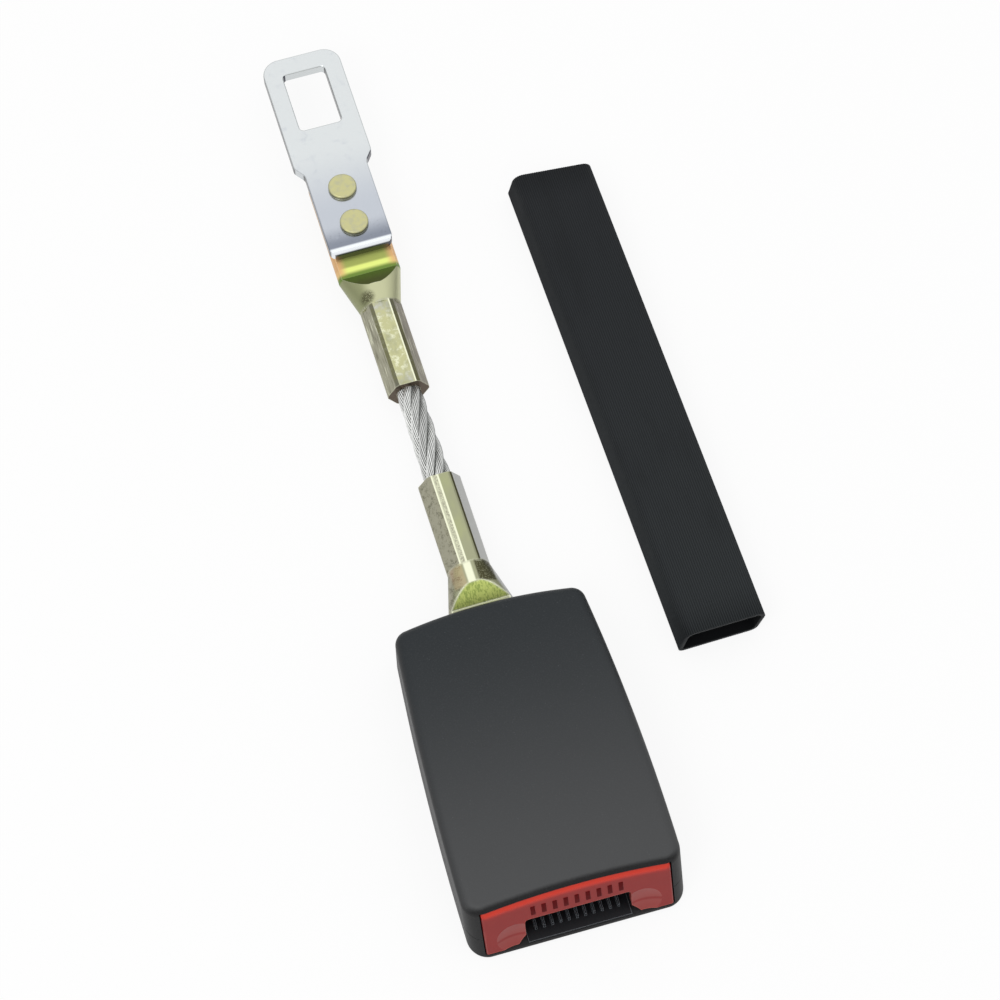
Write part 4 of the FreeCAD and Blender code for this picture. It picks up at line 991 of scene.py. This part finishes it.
def sleeve_section(sleeve, inset, ribbed, wanted):
    """Outline of the sleeve with or without its ribs, as (across, height, crest)."""
    smooth, _ = spaced(sleeve_outline(sleeve, inset), wanted)
    section = []
    for step, (x, z) in enumerate(smooth):
        before = smooth[step - 1]
        after = smooth[(step + 1) % wanted]
        along = Vector((after[0] - before[0], after[1] - before[1])).normalized()
        inward = Vector((-along.y, along.x))
        crest = (1 + math.cos(FULL_TURN * step / sleeve.rib_points)) / 2
        sunk = (1 - crest) * sleeve.rib_depth if ribbed else 0
        section.append((x + inward.x * sunk, z + inward.y * sunk, crest if ribbed else 0))
    return section


def build_sleeve(sleeve, finish, bore):
    """Sweep the ribbed outline along the sleeve, with a smooth bore and closed rims."""
    _, round_length = spaced(sleeve_outline(sleeve), sleeve.rib_points)
    ribs = round(round_length / sleeve.rib_pitch)
    wanted = ribs * sleeve.rib_points
    outer = sleeve_section(sleeve, 0, True, wanted)
    inner = sleeve_section(sleeve, sleeve.wall, False, wanted)
    points, faces = [], []
    turn_cos, turn_sin = math.cos(sleeve.turned), math.sin(sleeve.turned)

    def spot(x, z, run):
        cut_back = (x + sleeve.wide / 2) * math.tan(sleeve.lean)
        y = (run - 0.5) * sleeve.long - run * cut_back
        across = sleeve.across + x * turn_cos - y * turn_sin
        return across, sleeve.along + x * turn_sin + y * turn_cos, z

    runs = [step / sleeve.rings for step in range(sleeve.rings + 1)]
    rows = [(outer, run) for run in runs] + [(inner, run) for run in reversed(runs)] + [(outer, 0)]
    skin(points, faces, [[spot(x, z, run) for x, z, _ in section] for section, run in rows])
    piece = new_piece("ribbed_sleeve", points, faces, [finish, bore])
    for face in piece.data.polygons:
        face.material_index = len(runs) <= face.index // wanted < 2 * len(runs) - 1
    note_shades(piece, "rib_crest", [crest for section, _ in rows for _, _, crest in section])
    shape = bmesh.new()
    shape.from_mesh(piece.data)
    bmesh.ops.remove_doubles(shape, verts=shape.verts, dist=MM / 1000)
    bmesh.ops.recalc_face_normals(shape, faces=shape.faces)
    shape.to_mesh(piece.data)
    shape.free()
    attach(piece, "sleeve")
    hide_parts("sleeve")


# Button bars

def build_bars(button, finish):
    """Set a row of slim rounded bars on the sloping face."""
    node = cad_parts["release_button"]
    shape = bmesh.new()
    for step in range(button.bars):
        x = button.row_wide * (step / (button.bars - 1) - 0.5)
        before = Vector((x, -1, button.row_height))
        hit, spot, out, _ = node.ray_cast(before, Vector((0, 1, 0)))
        if not hit:
            raise RuntimeError("the button's face was not found")
        up = out.cross(RIGHT).normalized() * button.bar_tall / 2
        side = RIGHT * button.bar_wide / 2
        out = out * button.bar_proud
        corners = [
            shape.verts.new(spot + out * depth + up * rise + side * reach)
            for depth, rise, reach in product((-1, 1), repeat=3)
        ]
        bmesh.ops.convex_hull(shape, input=corners)
    bmesh.ops.dissolve_limit(shape, angle_limit=FLAT_ENOUGH, verts=shape.verts, edges=shape.edges)
    bmesh.ops.recalc_face_normals(shape, faces=shape.faces)
    mesh = bpy.data.meshes.new("press_bars")
    shape.to_mesh(mesh)
    shape.free()
    mesh.materials.append(finish)
    mesh.shade_smooth()
    piece = stand("press_bars", mesh)
    rounding = piece.modifiers.new("rounding", "BEVEL")
    rounding.width = button.bar_round
    rounding.segments = 2
    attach(piece, "button")


# Stage

def floor_finish(stage):
    """Near-white floor that glows where it is looked at and keeps a soft shadow."""
    finish = Finish("studio_white", FLOOR_TONE)
    finish.done(1.0, specular=0.0)
    nodes = finish.tree.nodes
    glow = finish.add("Emission", 0, {"Color": WHITE, "Strength": 1.0})
    much = finish.looked_at() * stage.floor_glow
    inputs = {0: much, 1: Flow(nodes["Principled BSDF"].outputs[0]), 2: glow}
    feed(nodes["Material Output"].inputs["Surface"], finish.add("MixShader", 0, inputs))
    return finish.material


def build_floor(stage):
    """Lay a square floor under the object."""
    half = stage.floor_size / 2
    corners = [(-half, -half, 0), (half, -half, 0), (half, half, 0), (-half, half, 0)]
    mesh = bpy.data.meshes.new("studio_floor")
    mesh.from_pydata(corners, [], [(0, 1, 2, 3)])
    mesh.materials.append(floor_finish(stage))
    stand("studio_floor", mesh)


def build_lamp(name, power, wide, spot, aim):
    """Hang a square soft lamp and turn it towards a point."""
    light = bpy.data.lights.new(name, "AREA")
    light.shape = "SQUARE"
    light.size = wide
    light.energy = power
    lamp = stand(name, light)
    lamp.location = spot
    lamp.rotation_euler = (aim - spot).to_track_quat("-Z", "Y").to_euler()


def build_sky(stage):
    """Soft light from all round, paler towards the zenith and white behind the object."""
    sky = bpy.data.worlds.new("studio_sky")
    sky.use_nodes = True
    tree = Tree(sky.node_tree)
    height = tree.add("TexCoord", "Generated").part("Z").rise(0.0, 0.6)
    pale = (height * (1 - stage.horizon) + stage.horizon) | tree.seen_by("Camera")
    strength = tree.add("Mix", 0, {0: tree.looked_at(), 2: stage.sky, 3: 1.0}, data_type="FLOAT")
    glow = sky.node_tree.nodes["Background"]
    feed(glow.inputs["Color"], WHITE)
    feed(glow.inputs["Strength"], strength * pale)
    bpy.context.scene.world = sky


def build_camera(stage, aim):
    """Look down at the object from the photographed side."""
    flat = math.cos(stage.elevation)
    back = Vector((
        math.sin(stage.azimuth) * flat, -math.cos(stage.azimuth) * flat, math.sin(stage.elevation)
    ))
    view = bpy.data.cameras.new("studio_camera")
    view.lens = stage.lens
    view.sensor_width = SENSOR_WIDTH
    camera = stand("studio_camera", view)
    camera.location = aim + back * stage.distance
    camera.rotation_euler = (-back).to_track_quat("-Z", "Y").to_euler()
    bpy.context.scene.camera = camera


# Operators

class EXTENDER_OT_casing(bpy.types.Operator):
    """Dress the covers and the mouth in black plastic"""

    bl_idname = "extender.casing"
    bl_label = "Casing and mouth"

    def execute(self, context):
        look = context.scene.extender_plastics
        dress("casing_plastic", casing_finish(look))
        dress("guide_plastic", guide_finish(look))
        return {"FINISHED"}


class EXTENDER_OT_button(bpy.types.Operator):
    """Dress the press button in red and set its raised bars"""

    bl_idname = "extender.button"
    bl_label = "Press button"

    def execute(self, context):
        look = context.scene.extender_plastics
        dress("button_plastic", button_finish(look))
        build_bars(context.scene.extender_button, bar_finish(look))
        return {"FINISHED"}


class EXTENDER_OT_mechanism(bpy.types.Operator):
    """Dress the frame, latch and pin in steel and wind the springs"""

    bl_idname = "extender.mechanism"
    bl_label = "Latch mechanism"

    def execute(self, context):
        look = context.scene.extender_metals
        steels = (
            ("frame_steel", "pressed_steel", 0.34, DRAWN_ALONG),
            ("latch_steel", "hard_steel", 0.3, DRAWN_ACROSS),
            ("pin_steel", "turned_steel", 0.24, DRAWN_ACROSS),
        )
        for slot, name, rough, drawing in steels:
            dress(slot, steel_finish(name, look, look.steel, rough, drawing))
        spring = steel_finish("spring_wire", look, look.spring, 0.32, EVEN)
        dress("spring_steel", spring)
        sizes = context.scene.extender_springs
        for node in ("button_spring_left", "button_spring_right"):
            build_spring(sizes, node, sizes.button_wire, sizes.button_turns, spring)
        wire, turns = sizes.ejector_wire, sizes.ejector_turns
        build_spring(sizes, "ejector_spring", wire, turns, spring)
        return {"FINISHED"}


class EXTENDER_OT_ferrules(bpy.types.Operator):
    """Dress the crimped ferrules and the rivets in yellow zinc"""

    bl_idname = "extender.ferrules"
    bl_label = "Ferrules and rivets"

    def execute(self, context):
        look = context.scene.extender_metals
        swing = context.scene.extender_strap
        dress("ferrule_zinc", upper_ferrule_finish(look, swing), "upper_ferrule")
        dress("ferrule_zinc", lower_ferrule_finish(look, swing), "lower_ferrule")
        dress("rivet_zinc", rivet_finish(look))
        return {"FINISHED"}


class EXTENDER_OT_rope(bpy.types.Operator):
    """Lay the wire rope between the ferrules"""

    bl_idname = "extender.rope"
    bl_label = "Wire rope"

    def execute(self, context):
        scene = context.scene
        build_rope(scene.extender_rope, scene.extender_strap, wire_finish(scene.extender_metals))
        return {"FINISHED"}


class EXTENDER_OT_tongue(bpy.types.Operator):
    """Dress the tongue in bright plate"""

    bl_idname = "extender.tongue"
    bl_label = "Tongue"

    def execute(self, context):
        scene = context.scene
        dress("tongue_chrome", tongue_finish(scene.extender_metals, scene.extender_strap))
        return {"FINISHED"}


class EXTENDER_OT_sleeve(bpy.types.Operator):
    """Build the ribbed sleeve"""

    bl_idname = "extender.sleeve"
    bl_label = "Sleeve"

    def execute(self, context):
        look = context.scene.extender_plastics
        sleeve = context.scene.extender_sleeve
        build_sleeve(sleeve, sleeve_finish(look, sleeve), bore_finish(look))
        return {"FINISHED"}


class EXTENDER_OT_stage(bpy.types.Operator):
    """Set the floor, lamps, sky and camera"""

    bl_idname = "extender.stage"
    bl_label = "Studio stage"

    def execute(self, context):
        stage = context.scene.extender_stage
        aim = Vector((stage.aim_across, stage.aim_along, 0))
        build_floor(stage)
        build_lamp("top_lamp", stage.top_lamp, TOP_LAMP_SIZE, aim + TOP_LAMP_PLACE, aim)
        build_lamp("key_lamp", stage.key_lamp, KEY_LAMP_SIZE, aim + KEY_LAMP_PLACE, aim)
        build_sky(stage)
        build_camera(stage, aim)
        context.scene.view_settings.view_transform = "Standard"
        return {"FINISHED"}


class EXTENDER_PT_panel(bpy.types.Panel):
    """Sizes, colours and build steps in the sidebar"""

    bl_idname = "EXTENDER_PT_panel"
    bl_label = "Seat belt extender"
    bl_space_type = "VIEW_3D"
    bl_region_type = "UI"
    bl_category = "Extender"

    def draw(self, context):
        for operator in OPERATORS:
            self.layout.operator(operator.bl_idname)
        for name, group in GROUPS.items():
            box = self.layout.box()
            box.label(text=group.__doc__)
            for field in group.__annotations__:
                box.prop(getattr(context.scene, name), field)


GROUPS = {
    f"extender_{group.__name__.rpartition('_')[2]}": group
    for group in (
        EXTENDER_PG_plastics, EXTENDER_PG_metals, EXTENDER_PG_strap, EXTENDER_PG_rope,
        EXTENDER_PG_springs, EXTENDER_PG_sleeve, EXTENDER_PG_button, EXTENDER_PG_stage,
    )
}

OPERATORS = (
    EXTENDER_OT_casing, EXTENDER_OT_button, EXTENDER_OT_mechanism, EXTENDER_OT_ferrules,
    EXTENDER_OT_rope, EXTENDER_OT_tongue, EXTENDER_OT_sleeve, EXTENDER_OT_stage,
)

CLASSES = (*GROUPS.values(), *OPERATORS, EXTENDER_PT_panel)


def register():
    for item in CLASSES:
        bpy.utils.register_class(item)
    for name, group in GROUPS.items():
        setattr(bpy.types.Scene, name, PointerProperty(type=group))


def unregister():
    for name in GROUPS:
        delattr(bpy.types.Scene, name)
    for item in reversed(CLASSES):
        bpy.utils.unregister_class(item)


def main():
    register()
    bpy.ops.extender.casing()
    bpy.ops.extender.button()
    bpy.ops.extender.mechanism()
    bpy.ops.extender.ferrules()
    bpy.ops.extender.rope()
    bpy.ops.extender.tongue()
    bpy.ops.extender.sleeve()
    bpy.ops.extender.stage()


if __name__ == "__main__":
    main()
